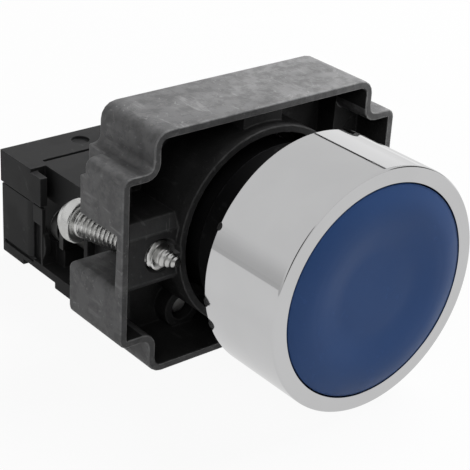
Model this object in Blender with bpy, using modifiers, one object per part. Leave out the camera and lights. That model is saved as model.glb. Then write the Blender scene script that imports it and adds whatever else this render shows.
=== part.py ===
"""Panel push button for a 22 mm hole, with a clamp base and one contact block.

X runs to the right, Y runs into the panel and Z runs up. The plane y = 0 is the
front of the panel and the line x = z = 0 is the axis of the button. Depths are
distances along Y, so whatever stands in front of the panel has a negative depth.
"""

import math

import bmesh
import bpy
from mathutils import Vector

# Fits shared by all pieces
GAP = 0.0003
STOP_GAP = 0.0004
CUT_MARGIN = 0.002
UNION_OVERLAP = 0.0005
FACE_STEP = 0.0001

# Button head in front of the panel
BEZEL_RIM = 0.0006
BEZEL_RING_WIDTH = 0.00187
BEZEL_SEAT_THICKNESS = 0.002
EDGE_BREAK = 0.0003
CAP_RECESS = 0.00005
CAP_THICKNESS = 0.00285
CAP_CROWN_HEIGHT = 0.00065
CAP_CROWN_WIDTH = 0.0029
CAP_DISH_DEPTH = 0.00055
CAP_DISH_SLOPE = 0.0048
CAP_DISH_STEPS = 3
PUSH_TRAVEL = 0.0043
FLANGE_THICKNESS = 0.0016
GASKET_WIDTH = 0.0023
GASKET_THICKNESS = 0.001
GASKET_PROUD = 0.0004
KEY_WIDTH = 0.0009
KEY_DEPTH = 0.0004
KEY_ANGLES = (67.0, 153.0, 189.0, 202.0)

# Tube of the head, through the panel and into the base
SPIGOT_DIAMETER = 0.022
SPIGOT_LENGTH = 0.0063
SPIGOT_CHAMFER = 0.0006
NECK_STEP = 0.001
NECK_WALL = 0.0009
NECK_INSET = 0.0011
CHAMBER_DIAMETER = 0.0164
WEB_DEPTH = 0.0047
WEB_THICKNESS = 0.003
SEAL_POCKET_DEPTH = 0.0019
SEAL_POCKET_WALL = 0.002
SEAL_SECTION_STEPS = 10
LUG_WIDTH = 0.005
LUG_HEIGHT = 0.0007
LUG_THICKNESS = 0.0012
LIP_THICKNESS = 0.002

# Moving pieces of the head
STEM_DIAMETER = 0.007
HUB_WALL = 0.0014
HUB_LENGTH = 0.003
RING_THICKNESS = 0.0008
RING_WIDTH = 0.002
RING_GROOVE_DEPTH = 0.0007
RING_OPENING_ANGLE = 60.0
PUSHER_HUB_WALL = 0.0016
PUSHER_PLATE_THICKNESS = 0.002
PUSHER_SOCKET_DEPTH = 0.0024
RETURN_SPRING_WIRE = 0.0009
RETURN_SPRING_TURNS = 6.0

# Die-cast base behind the panel
BASE_STANDOFF = 0.00775
BASE_DEPTH = 0.01035
EAR_MARGIN = 0.0027
TOP_MARGIN = 0.0025
CROWN_MARGIN = 0.0034
EAR_HEIGHT = 0.0209
CORNER_RADIUS = 0.0019
EAR_CORNER_RADIUS = 0.0011
NOTCH_RADIUS = 0.0009
BASE_WALL = 0.00095
BASE_FLOOR = 0.0022
EAR_FLOOR = 0.0051
COLLAR_WALL = 0.0009
COLLAR_PROUD = 0.0006
COLLAR_CLEARANCE = 0.0006
BOSS_SETBACK = 0.0002
BOSS_CHAMFER = 0.0013
BOSS_WALL = 0.0008
CHANNEL_HEIGHT = 0.0068
CHANNEL_STRIP = 0.0011
CHANNEL_SHELF = 0.0022
CHANNEL_END_WALL = 0.0014
CHANNEL_EDGE_RADIUS = 0.0009
EAR_RELIEF = 0.0021
EAR_RELIEF_WIDTH = 0.0025
EAR_RELIEF_STEP = 0.001
EAR_RELIEF_STEP_HEIGHT = 0.0081
RIB_WIDTH = 0.0056
RIB_SETBACK = 0.0011
KEYWAY_WIDTH = 0.0032
KEYWAY_DEPTH = 0.0022
TAPPED_BOSS_WALL = 0.0011
TAPPED_BOSS_LENGTH = 0.0022

# Clamp screws, tilted so that their heads clear the contact block
SCREW_TILT = 13.0
SCREW_DIAMETER = 0.0035
SCREW_LENGTH = 0.0144
SCREW_HEAD_DIAMETER = 0.0053
SCREW_HEAD_HEIGHT = 0.0023
SCREW_HEAD_SIDE = 0.0012
SCREW_HEAD_FLAT = 0.0032
SCREW_POINT_LENGTH = 0.0022
SCREW_POINT_DIAMETER = 0.0024
SCREW_TIP_DIAMETER = 0.0011
SCREW_TIP_MARGIN = 0.00236
SCREW_HEAD_STANDOFF = 0.0015
SCREW_HEAD_ROOM = 0.0004

# Contact block on the lower half of the base
BLOCK_REAR_WALL = 0.0056
BLOCK_BOTTOM_WALL = 0.0004
BLOCK_SIDE_WALL = 0.00055
NOSE_WALL = 0.0003
COVER_OVERHANG = 0.00025
COVER_WAIST_INSET = 0.0022
COVER_TAIL_LENGTH = 0.0073
COVER_TAB_DROP = 0.0005
POST_HOLE_DIAMETER = 0.0024
POST_HOLE_DEPTH = 0.0004
POST_HOLE_SPACING = 0.0084
POST_HOLE_INSET = 0.0028
COVER_GROOVE_WIDTH = 0.0005
COVER_GROOVE_MARGIN = 0.0027
COVER_GROOVE_INSET = 0.006
HOUSING_FRONT_WALL = 0.0018
PARTITION_WALL = 0.0008
TUNNEL_COVER = 0.00055
FOOT_HEIGHT = 0.0008
FOOT_LENGTH = 0.005
FOOT_RELIEF_LENGTH = 0.0074
END_WALL = 0.00105
END_RIB_LENGTH = 0.0004
END_RECESS_DEPTH = 0.0004
END_RECESS_LENGTH = 0.0013
END_SLOT_DEPTH = 0.0008
END_SLOT_LENGTH = 0.0018
END_GROOVE_HEIGHT = 0.0005
END_GROOVE_DEPTH = 0.0004
END_BULGE_RADIUS = 0.0028
END_BULGE_RISE = 0.0006
END_BULGE_HEIGHT = 0.0046

# Terminals of the contact block
TERMINAL_DIAMETER = 0.003
TERMINAL_HEAD_DIAMETER = 0.0048
TERMINAL_HEAD_HEIGHT = 0.0019
TERMINAL_SCREW_LENGTH = 0.0087
POCKET_FLOOR = 0.0019
POCKET_RELIEF = 0.0019
WIRE_SPACE = 0.0048
CLAMP_PLATE_SIZE = 0.0044
CLAMP_PLATE_THICKNESS = 0.0009
STRIP_THICKNESS = 0.0008
STRIP_LEG_CLEARANCE = 0.0008
STRIP_INNER_END = 0.0029
TERMINAL_PLATE_DEPTH = 0.0056

# Contacts and their plunger
PLUNGER_TIP_WIDTH = 0.003
PLUNGER_TIP_HEIGHT = 0.0028
PLUNGER_CLEARANCE = 0.00037
SHOULDER_WIDTH = 0.006
SHOULDER_CLEARANCE = 0.0005
SHOULDER_THICKNESS = 0.0016
ROD_DIAMETER = 0.0024
ROD_TAIL_LENGTH = 0.0034
ROD_TAIL_CLEARANCE = 0.0007
ROD_COLLAR_DIAMETER = 0.004
ROD_COLLAR_THICKNESS = 0.001
BRIDGE_LENGTH = 0.0112
BRIDGE_HEIGHT = 0.0042
BRIDGE_CLEARANCE = 0.0004
BRIDGE_END_HEIGHT = 0.0026
BRIDGE_NECK_OFFSET = 0.0027
BRIDGE_THICKNESS = 0.0008
BRIDGE_SPRING_LENGTH = 0.0038
BRIDGE_SPRING_TURNS = 4.0
PLUNGER_SPRING_TURNS = 6.0
CONTACT_SPRING_WIRE = 0.0004
CONTACT_TIP_OFFSET = 0.0044
CONTACT_TIP_RADIUS = 0.0011
CONTACT_TIP_HEIGHT = 0.0006
CONTACT_TIP_DOME = 0.0003
CONTACT_GAP = 0.0026

# Screws that hold the block on the base
BLOCK_SCREW_OFFSET = 0.0066
BLOCK_SCREW_DIAMETER = 0.0025
BLOCK_SCREW_HEAD_DIAMETER = 0.004
BLOCK_SCREW_HEAD_HEIGHT = 0.0016
BLOCK_SCREW_SINK = 0.0012
BLOCK_SCREW_ENGAGEMENT = 0.0036

# Facets of round shapes
LARGE_STEPS = 64
MEDIUM_STEPS = 48
SMALL_STEPS = 20
ARC_STEPS = 4
COIL_STEPS = 12
COIL_EASE = 0.06
WELD_DISTANCE = 0.000001
SMOOTH_ANGLE = math.radians(35.0)

# Head: radii from the axis and depths from the panel, worked out from the sizes above
spigot_radius = SPIGOT_DIAMETER / 2
seat_bore_radius = spigot_radius + GAP
gasket_outer_radius = seat_bore_radius + GASKET_WIDTH
gasket_groove_radius = gasket_outer_radius + GAP
bezel_radius = gasket_groove_radius + BEZEL_RIM
opening_radius = bezel_radius - BEZEL_RING_WIDTH
cap_radius = opening_radius - GAP
gasket_back = GASKET_PROUD
gasket_front = gasket_back - GASKET_THICKNESS
gasket_groove = gasket_front - GAP
flange_back = -BEZEL_SEAT_THICKNESS - GAP
flange_front = flange_back - FLANGE_THICKNESS
cap_back = flange_front - STOP_GAP - PUSH_TRAVEL
cap_edge = cap_back - CAP_THICKNESS
cap_crest = cap_edge - CAP_CROWN_HEIGHT
bezel_front = cap_edge - CAP_RECESS

# Base and the tube's lock in it
base_front = BASE_STANDOFF
base_back = base_front + BASE_DEPTH
base_floor = base_back - BASE_FLOOR
collar_front = base_front - COLLAR_PROUD
block_front = base_back + GAP
neck_radius = spigot_radius - NECK_STEP
neck_bore_radius = neck_radius - NECK_WALL
neck_back = base_back - NECK_INSET
lug_front = neck_back - LUG_THICKNESS
lug_reach = math.hypot(LUG_WIDTH / 2, neck_radius + LUG_HEIGHT) + GAP
lip_back = lug_front - GAP
lip_front = lip_back - LIP_THICKNESS
collar_bore_radius = spigot_radius + COLLAR_CLEARANCE
collar_radius = collar_bore_radius + COLLAR_WALL

# Clamp screws and the outline of the base round them
screw_radius = SCREW_DIAMETER / 2
screw_tilt = math.radians(SCREW_TILT)
screw_seat = base_back + SCREW_HEAD_STANDOFF
screw_head_offset = collar_bore_radius + SCREW_TIP_MARGIN + SCREW_LENGTH * math.sin(screw_tilt)
screw_head_back = screw_seat + SCREW_HEAD_HEIGHT + SCREW_HEAD_DIAMETER / 2 * math.sin(screw_tilt)
screw_clear_depth = screw_head_back + SCREW_HEAD_ROOM
base_half_width = screw_head_offset + EAR_MARGIN
base_half_height = collar_radius + TOP_MARGIN
crown_half_width = collar_radius + CROWN_MARGIN
ear_half_height = EAR_HEIGHT / 2

# Moving pieces of the head
stem_radius = STEM_DIAMETER / 2
socket_radius = stem_radius + GAP
hub_radius = socket_radius + HUB_WALL
chamber_radius = CHAMBER_DIAMETER / 2
return_spring_radius = (hub_radius + chamber_radius) / 2
seal_pocket_radius = stem_radius + SEAL_POCKET_WALL
web_back = WEB_DEPTH + WEB_THICKNESS
ring_front = web_back + GAP
ring_back = ring_front + RING_THICKNESS
pusher_front = ring_back + 2 * GAP
pusher_back = block_front - STOP_GAP - PUSH_TRAVEL
pusher_radius = neck_bore_radius - GAP
stem_front = cap_back + GAP
stem_back = pusher_front + PUSHER_SOCKET_DEPTH - GAP

# Heights in the contact block, from the plunger that reaches into the tube
plunger_reach = neck_bore_radius - PLUNGER_CLEARANCE
contact_height = PLUNGER_TIP_HEIGHT / 2 - math.sqrt(plunger_reach ** 2 - (PLUNGER_TIP_WIDTH / 2) ** 2)
mechanism_height = BRIDGE_HEIGHT + 2 * BRIDGE_CLEARANCE
housing_top = contact_height + mechanism_height / 2
cover_bottom = housing_top + GAP
mechanism_floor = contact_height - mechanism_height / 2
strip_low = mechanism_floor + GAP
strip_high = housing_top - GAP
tunnel_radius = BLOCK_SCREW_DIAMETER / 2 + GAP
head_pocket_radius = BLOCK_SCREW_HEAD_DIAMETER / 2 + GAP
block_screw_height = mechanism_floor - TUNNEL_COVER - tunnel_radius
block_bottom = block_screw_height - head_pocket_radius - BLOCK_BOTTOM_WALL
pocket_floor = block_bottom + POCKET_FLOOR

# Half widths in the contact block, from the bridge outwards
strip_leg = BRIDGE_LENGTH / 2 + STRIP_LEG_CLEARANCE
mechanism_half_width = strip_leg + STRIP_THICKNESS + GAP
pocket_inner = mechanism_half_width + PARTITION_WALL
driver_radius = TERMINAL_HEAD_DIAMETER / 2 + GAP
shank_radius = TERMINAL_DIAMETER / 2 + GAP
terminal_offset = pocket_inner + driver_radius
block_half_width = terminal_offset + driver_radius + BLOCK_SIDE_WALL
nose_half_width = terminal_offset + shank_radius + NOSE_WALL
tail_half_width = block_half_width + COVER_OVERHANG
waist_half_width = tail_half_width - COVER_WAIST_INSET

# Depths in the contact block, from the front of the plunger to the back of the block
plunger_front = pusher_back + GAP
mechanism_front = block_front + HOUSING_FRONT_WALL
shoulder_front = mechanism_front + GAP
shoulder_back = shoulder_front + SHOULDER_THICKNESS
bridge_front = shoulder_back + BRIDGE_SPRING_LENGTH + 2 * GAP
bridge_back = bridge_front + BRIDGE_THICKNESS
rod_collar_front = bridge_back + GAP
rod_collar_back = rod_collar_front + ROD_COLLAR_THICKNESS
rod_back = rod_collar_back + ROD_TAIL_LENGTH
strip_contact_front = bridge_back + 2 * CONTACT_TIP_HEIGHT + CONTACT_GAP + GAP
mechanism_back = rod_back + PUSH_TRAVEL + ROD_TAIL_CLEARANCE
block_back = mechanism_back + BLOCK_REAR_WALL
terminal_front = block_front + TERMINAL_PLATE_DEPTH
terminal_back = terminal_front + STRIP_THICKNESS
clamp_front = terminal_back + WIRE_SPACE + GAP
clamp_back = clamp_front + CLAMP_PLATE_THICKNESS
terminal_head_front = clamp_back + GAP
end_wall_front = clamp_back + GAP + POCKET_RELIEF
tail_front = block_back - COVER_TAIL_LENGTH
rod_radius = ROD_DIAMETER / 2
rod_collar_radius = ROD_COLLAR_DIAMETER / 2
contact_spring_radius = (rod_radius + rod_collar_radius) / 2

# Finishes as colour, roughness and metallic value
CHROME = ((0.78, 0.78, 0.79), 0.08, 1.0)
BLUE_PLASTIC = ((0.032, 0.065, 0.17), 0.38, 0.0)
BLACK_PLASTIC = ((0.012, 0.012, 0.013), 0.45, 0.0)
GREEN_PLASTIC = ((0.02, 0.2, 0.06), 0.45, 0.0)
RUBBER = ((0.015, 0.015, 0.015), 0.75, 0.0)
ZINC_CASTING = ((0.12, 0.12, 0.122), 0.55, 0.6)
PLATED_STEEL = ((0.66, 0.66, 0.65), 0.25, 1.0)
SPRING_STEEL = ((0.5, 0.5, 0.5), 0.3, 1.0)
BRASS = ((0.62, 0.45, 0.18), 0.3, 1.0)

# Turns that lay a front view or a side view upright in space
VIEW_ROTATIONS = {
    "plan": (0.0, 0.0, 0.0),
    "front": (math.pi / 2, 0.0, 0.0),
    "side": (math.pi / 2, 0.0, math.pi / 2),
}
VIEW_AXES = {
    "plan": Vector((0.0, 0.0, 1.0)),
    "front": Vector((0.0, 1.0, 0.0)),
    "side": Vector((1.0, 0.0, 0.0)),
}
SIDES = {"left": -1, "right": 1}


def clear_scene():
    """Remove the objects that a new file starts with."""
    for item in list(bpy.data.objects):
        bpy.data.objects.remove(item, do_unlink=True)


def new_collection(name):
    """Add an empty collection to the scene."""
    collection = bpy.data.collections.new(name)
    bpy.context.scene.collection.children.link(collection)
    return collection


clear_scene()
PARTS = new_collection("push_button")
CUTTERS = new_collection("cutters")


def place(name, mesh, location=(0.0, 0.0, 0.0), rotation=(0.0, 0.0, 0.0)):
    """Put a mesh in the cutters until it is dressed as a part."""
    item = bpy.data.objects.new(name, mesh)
    item.location = location
    item.rotation_euler = rotation
    item.hide_render = True
    item.display_type = "WIRE"
    CUTTERS.objects.link(item)
    return item


def mesh_from(shape):
    """Turn a bmesh into a mesh with its faces pointing out."""
    bmesh.ops.recalc_face_normals(shape, faces=shape.faces)
    mesh = bpy.data.meshes.new("shape")
    shape.to_mesh(mesh)
    shape.free()
    return mesh


def box(name, low, high):
    """A box between two corners."""
    low = Vector(low)
    high = Vector(high)
    shape = bmesh.new()
    bmesh.ops.create_cube(shape, size=1.0)
    bmesh.ops.scale(shape, vec=high - low, verts=shape.verts)
    return place(name, mesh_from(shape), (low + high) / 2)


def bar(name, radius, front, back, x=0.0, z=0.0, steps=SMALL_STEPS):
    """A round bar along Y from one depth to another."""
    shape = bmesh.new()
    bmesh.ops.create_cone(
        shape,
        cap_ends=True,
        segments=steps,
        radius1=radius,
        radius2=radius,
        depth=back - front,
    )
    return place(name, mesh_from(shape), (x, (front + back) / 2, z), VIEW_ROTATIONS["front"])


def turned(name, profile, steps, x=0.0, z=0.0, closed=True):
    """A piece turned about a line along Y from points of radius and depth.

    The profile runs back along the outer side and forward along the inner side.
    """
    mesh = bpy.data.meshes.new(name)
    points = [(radius, 0.0, -depth) for radius, depth in profile]
    edges = [(i, i + 1) for i in range(len(points) - 1)]
    if closed:
        edges.append((len(points) - 1, 0))
    mesh.from_pydata(points, edges, [])
    item = place(name, mesh, (x, 0.0, z), VIEW_ROTATIONS["front"])
    screw = item.modifiers.new("turn", "SCREW")
    screw.axis = "Z"
    screw.steps = steps
    screw.render_steps = steps
    screw.use_merge_vertices = True
    screw.merge_threshold = WELD_DISTANCE
    screw.use_smooth_shade = True
    return item


def rounded_outline(corners):
    """Points round a polygon whose corners are given as x, y and fillet radius."""
    points = []
    for i, (x, y, radius) in enumerate(corners):
        here = Vector((x, y))
        if radius <= 0.0:
            points.append((x, y))
            continue
        before = (Vector(corners[i - 1][:2]) - here).normalized()
        after = (Vector(corners[(i + 1) % len(corners)][:2]) - here).normalized()
        half_angle = before.angle(after) / 2
        centre = here + (before + after).normalized() * (radius / math.sin(half_angle))
        start = here + before * (radius / math.tan(half_angle)) - centre
        end = here + after * (radius / math.tan(half_angle)) - centre
        sweep = -start.angle_signed(end)
        first = math.atan2(start.y, start.x)
        for step in range(ARC_STEPS + 1):
            angle = first + sweep * step / ARC_STEPS
            points.append((centre.x + radius * math.cos(angle), centre.y + radius * math.sin(angle)))
    return points


def prism(name, outline, view, low, high):
    """A flat outline, drawn in one view, given a thickness between two planes."""
    curve = bpy.data.curves.new(name + "_outline", "CURVE")
    curve.dimensions = "2D"
    curve.fill_mode = "NONE"
    curve.extrude = (high - low) / 2
    spline = curve.splines.new("POLY")
    spline.points.add(len(outline) - 1)
    spline.use_cyclic_u = True
    for point, (u, v) in zip(spline.points, outline):
        point.co = (u, v, 0.0, 1.0)
    source = bpy.data.objects.new(name + "_outline", curve)
    source.rotation_euler = VIEW_ROTATIONS[view]
    source.location = VIEW_AXES[view] * ((low + high) / 2)
    CUTTERS.objects.link(source)
    item = place(name, welded_mesh(source))
    item.matrix_world = source.matrix_world
    bpy.data.objects.remove(source, do_unlink=True)
    return item


def welded_mesh(source):
    """The evaluated mesh of an object, welded, with its open ends closed."""
    bpy.context.view_layer.update()
    depsgraph = bpy.context.evaluated_depsgraph_get()
    mesh = bpy.data.meshes.new_from_object(source.evaluated_get(depsgraph))
    shape = bmesh.new()
    shape.from_mesh(mesh)
    bmesh.ops.remove_doubles(shape, verts=shape.verts, dist=WELD_DISTANCE)
    bmesh.ops.holes_fill(shape, edges=shape.edges)
    bpy.data.meshes.remove(mesh)
    return mesh_from(shape)


def combine(target, others, operation):
    """Cut other pieces out of a piece, or join them to it."""
    for other in others:
        modifier = target.modifiers.new(other.name, "BOOLEAN")
        modifier.operation = operation
        modifier.object = other
        modifier.solver = "EXACT"


def cut(target, *others):
    """Cut other pieces out of a piece."""
    combine(target, others, "DIFFERENCE")


def join(target, *others):
    """Join other pieces to a piece."""
    combine(target, others, "UNION")


def mirrored(outline, side):
    """An outline drawn for the right-hand side, moved to the stated side."""
    if side > 0:
        return outline
    return [(-u, v) for u, v in reversed(outline)]


def rectangle(low, high):
    """The corner points of a rectangle between two corners."""
    return [(low[0], low[1]), (high[0], low[1]), (high[0], high[1]), (low[0], high[1])]


def finish_material(name, finish):
    """A material with one colour, roughness and metallic value."""
    colour, roughness, metallic = finish
    material = bpy.data.materials.new(name)
    material.use_nodes = True
    shader = material.node_tree.nodes["Principled BSDF"]
    shader.inputs["Base Color"].default_value = (*colour, 1.0)
    shader.inputs["Roughness"].default_value = roughness
    shader.inputs["Metallic"].default_value = metallic
    material.diffuse_color = (*colour, 1.0)
    return material


def dress(item, finish):
    """Make a shaped object a part: apply its shape, shade it and colour it."""
    if item.type == "MESH":
        item.data = welded_mesh(item)
        item.modifiers.clear()
        item.data.shade_smooth()
        item.data.set_sharp_from_angle(angle=SMOOTH_ANGLE)
    item.data.materials.clear()
    item.data.materials.append(finish_material(item.name + "_finish", finish))
    item.hide_render = False
    item.display_type = "TEXTURED"
    CUTTERS.objects.unlink(item)
    PARTS.objects.link(item)
    return item


def key_blocks(name, clearance, inner, outer, front, back):
    """Small blocks round the rim of the bezel, one at each key angle."""
    blocks = []
    half_width = KEY_WIDTH / 2 + clearance
    for angle in KEY_ANGLES:
        block = box(name, (inner, front, -half_width), (outer, back, half_width))
        turn = -math.radians(angle)
        centre = block.location.copy()
        block.location = (
            centre.x * math.cos(turn),
            centre.y,
            -centre.x * math.sin(turn),
        )
        block.rotation_euler = (0.0, turn, 0.0)
        blocks.append(block)
    return blocks


def make_bezel():
    """Plated ring that frames the cap and bears on the panel."""
    item = turned(
        "bezel",
        [
            (opening_radius, bezel_front),
            (bezel_radius - EDGE_BREAK, bezel_front),
            (bezel_radius, bezel_front + EDGE_BREAK),
            (bezel_radius, -EDGE_BREAK),
            (bezel_radius - EDGE_BREAK, 0.0),
            (gasket_groove_radius, 0.0),
            (gasket_groove_radius, gasket_groove),
            (seat_bore_radius, gasket_groove),
            (seat_bore_radius, -BEZEL_SEAT_THICKNESS),
            (opening_radius, -BEZEL_SEAT_THICKNESS),
        ],
        LARGE_STEPS,
    )
    notches = key_blocks(
        "key_notch",
        GAP,
        gasket_outer_radius - GAP,
        bezel_radius + CUT_MARGIN,
        -KEY_DEPTH - GAP,
        CUT_MARGIN,
    )
    cut(item, *notches)
    return dress(item, CHROME)


def make_gasket():
    """Flat rubber ring between bezel and panel, keyed in notches of the bezel."""
    item = turned(
        "panel_gasket",
        [
            (seat_bore_radius, gasket_front),
            (gasket_outer_radius, gasket_front),
            (gasket_outer_radius, gasket_back),
            (seat_bore_radius, gasket_back),
        ],
        MEDIUM_STEPS,
    )
    keys = key_blocks(
        "gasket_key",
        0.0,
        gasket_outer_radius - UNION_OVERLAP,
        bezel_radius,
        -KEY_DEPTH,
        gasket_back - FACE_STEP,
    )
    join(item, *keys)
    return dress(item, RUBBER)


def make_head_body():
    """Black tube that passes through the panel and locks in the base."""
    flange_radius = opening_radius - GAP
    seal_floor = WEB_DEPTH + SEAL_POCKET_DEPTH
    item = turned(
        "head_body",
        [
            (chamber_radius, flange_front),
            (flange_radius, flange_front),
            (flange_radius, flange_back),
            (spigot_radius, flange_back),
            (spigot_radius, SPIGOT_LENGTH - SPIGOT_CHAMFER),
            (spigot_radius - SPIGOT_CHAMFER, SPIGOT_LENGTH),
            (neck_radius, SPIGOT_LENGTH),
            (neck_radius, neck_back),
            (neck_bore_radius, neck_back),
            (neck_bore_radius, web_back),
            (socket_radius, web_back),
            (socket_radius, seal_floor),
            (seal_pocket_radius, seal_floor),
            (seal_pocket_radius, WEB_DEPTH),
            (chamber_radius, WEB_DEPTH),
        ],
        MEDIUM_STEPS,
    )
    for side in SIDES.values():
        inner = side * (neck_radius - NECK_WALL / 2)
        outer = side * (neck_radius + LUG_HEIGHT)
        lug = box(
            "bayonet_lug",
            (-LUG_WIDTH / 2, lug_front, min(inner, outer)),
            (LUG_WIDTH / 2, neck_back - FACE_STEP, max(inner, outer)),
        )
        join(item, lug)
    return dress(item, BLACK_PLASTIC)


def make_push_cap():
    """Blue cap with a low crown round a dish for the finger, and a hub for the stem."""
    dish_radius = cap_radius - CAP_CROWN_WIDTH - CAP_DISH_SLOPE
    face = [(0.0, cap_crest + CAP_DISH_DEPTH)]
    for step in range(CAP_DISH_STEPS + 1):
        share = step / CAP_DISH_STEPS
        depth = CAP_DISH_DEPTH * math.cos(share * math.pi / 2) ** 2
        face.append((dish_radius + CAP_DISH_SLOPE * share, cap_crest + depth))
    item = turned(
        "push_cap",
        face
        + [
            (cap_radius - EDGE_BREAK, cap_edge),
            (cap_radius, cap_edge + EDGE_BREAK),
            (cap_radius, cap_back),
            (hub_radius, cap_back),
            (hub_radius, cap_back + HUB_LENGTH),
            (socket_radius, cap_back + HUB_LENGTH),
            (socket_radius, cap_back),
            (0.0, cap_back),
        ],
        LARGE_STEPS,
        closed=False,
    )
    return dress(item, BLUE_PLASTIC)


def make_cap_stem():
    """Shaft from the cap to the pusher, with a groove for the retaining ring."""
    groove_radius = stem_radius - RING_GROOVE_DEPTH
    item = turned(
        "cap_stem",
        [
            (0.0, stem_front),
            (stem_radius, stem_front),
            (stem_radius, ring_front - GAP),
            (groove_radius, ring_front - GAP),
            (groove_radius, ring_back + GAP),
            (stem_radius, ring_back + GAP),
            (stem_radius, stem_back),
            (0.0, stem_back),
        ],
        SMALL_STEPS,
        closed=False,
    )
    return dress(item, BLACK_PLASTIC)


def make_retaining_ring():
    """Open steel ring in the stem's groove that stops the button at rest."""
    inner = stem_radius - RING_GROOVE_DEPTH + GAP
    outer = inner + RING_WIDTH
    steps = SMALL_STEPS
    first = math.radians(90.0 + RING_OPENING_ANGLE / 2)
    sweep = math.radians(360.0 - RING_OPENING_ANGLE)
    angles = [first + sweep * step / steps for step in range(steps + 1)]
    outline = [(outer * math.cos(angle), outer * math.sin(angle)) for angle in angles]
    outline += [(inner * math.cos(angle), inner * math.sin(angle)) for angle in reversed(angles)]
    item = prism("retaining_ring", outline, "front", ring_front, ring_back)
    return dress(item, SPRING_STEEL)


def make_pusher():
    """Plate on the rear end of the stem that presses the contact plunger."""
    pusher_hub_radius = socket_radius + PUSHER_HUB_WALL
    socket_floor = pusher_front + PUSHER_SOCKET_DEPTH
    plate_front = pusher_back - PUSHER_PLATE_THICKNESS
    item = turned(
        "pusher",
        [
            (0.0, socket_floor),
            (socket_radius, socket_floor),
            (socket_radius, pusher_front),
            (pusher_hub_radius, pusher_front),
            (pusher_hub_radius, plate_front),
            (pusher_radius, plate_front),
            (pusher_radius, pusher_back),
            (0.0, pusher_back),
        ],
        MEDIUM_STEPS,
        closed=False,
    )
    return dress(item, BLACK_PLASTIC)


def make_stem_seal():
    """Rubber ring round the stem in the front of the tube's inner wall."""
    thickness = (seal_pocket_radius - stem_radius) / 2 - GAP
    centre_radius = (seal_pocket_radius + stem_radius) / 2
    centre_depth = WEB_DEPTH + SEAL_POCKET_DEPTH - GAP - thickness
    profile = []
    for step in range(SEAL_SECTION_STEPS):
        angle = 2.0 * math.pi * step / SEAL_SECTION_STEPS
        radius = centre_radius + thickness * math.sin(angle)
        profile.append((radius, centre_depth - thickness * math.cos(angle)))
    item = turned("stem_seal", profile, SMALL_STEPS)
    return dress(item, RUBBER)


def make_spring(name, wire, radius, turns, front, back, z=0.0):
    """A coil spring along Y between two depths, its end turns wound closer."""
    curve = bpy.data.curves.new(name, "CURVE")
    curve.dimensions = "3D"
    curve.bevel_depth = wire / 2
    curve.bevel_resolution = 2
    curve.use_fill_caps = True
    count = int(turns * COIL_STEPS)
    spline = curve.splines.new("POLY")
    spline.points.add(count)
    start = front + wire / 2
    length = back - front - wire
    for step, point in enumerate(spline.points):
        share = step / count
        eased = share - COIL_EASE * math.sin(2.0 * math.pi * share)
        angle = 2.0 * math.pi * turns * share
        point.co = (radius * math.cos(angle), start + length * eased, radius * math.sin(angle), 1.0)
    item = bpy.data.objects.new(name, curve)
    item.location.z = z
    CUTTERS.objects.link(item)
    return dress(item, SPRING_STEEL)


def cross_outline(inset):
    """Front view of the base: a cross with rounded corners, drawn in by a wall."""
    width = base_half_width - inset
    height = base_half_height - inset
    crown = crown_half_width - inset
    ear = ear_half_height - inset
    corner = CORNER_RADIUS - inset
    ear_corner = EAR_CORNER_RADIUS - inset
    notch = NOTCH_RADIUS + inset
    return rounded_outline(
        [
            (width, -ear, ear_corner),
            (width, ear, ear_corner),
            (crown, ear, notch),
            (crown, height, corner),
            (-crown, height, corner),
            (-crown, ear, notch),
            (-width, ear, ear_corner),
            (-width, -ear, ear_corner),
            (-crown, -ear, notch),
            (-crown, -height, corner),
            (crown, -height, corner),
            (crown, -ear, notch),
        ]
    )


def screw_axis_x(depth):
    """Distance of a clamp screw's axis from the middle at a depth."""
    return screw_head_offset + (depth - screw_seat) * math.tan(screw_tilt)


def channel_outline():
    """Plan of the clamp screw's channel, open at the side and at the back."""
    outside = base_half_width + CUT_MARGIN
    inner_end = collar_bore_radius + CHANNEL_END_WALL
    strip_back = base_front + CHANNEL_STRIP
    shelf_back = strip_back + CHANNEL_SHELF
    step = screw_axis_x(shelf_back) + screw_radius + GAP
    slope = (step - inner_end) * math.tan(screw_tilt)
    return [
        (outside, strip_back),
        (outside, base_back + CUT_MARGIN),
        (inner_end, base_back + CUT_MARGIN),
        (inner_end, shelf_back),
        (step, shelf_back - slope),
        (step, strip_back),
    ]


def edge_waste(edge, top):
    """Outline of the waste outside a rounded edge between an end face and a top face."""
    radius = CHANNEL_EDGE_RADIUS
    outline = [(edge - radius, top + CUT_MARGIN)]
    for step in range(ARC_STEPS + 1):
        angle = math.pi / 2 * step / ARC_STEPS
        outline.append((edge + radius * (math.sin(angle) - 1), top + radius * (math.cos(angle) - 1)))
    outline.append((edge + CUT_MARGIN, top - radius))
    outline.append((edge + CUT_MARGIN, top + CUT_MARGIN))
    return outline


def channel_edge_cutters(side):
    """Waste along the channel's lower edges, at the side and at the back of the ear."""
    floor = -CHANNEL_HEIGHT / 2
    inner = side * (collar_bore_radius + CHANNEL_END_WALL)
    outer = side * (base_half_width + CUT_MARGIN)
    side_edge = prism(
        "channel_side_edge",
        mirrored(edge_waste(base_half_width, floor), side),
        "front",
        base_front + CHANNEL_STRIP,
        base_back + CUT_MARGIN,
    )
    back_edge = prism(
        "channel_back_edge",
        edge_waste(base_back, floor),
        "side",
        min(inner, outer),
        max(inner, outer),
    )
    return [side_edge, back_edge]


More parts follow.
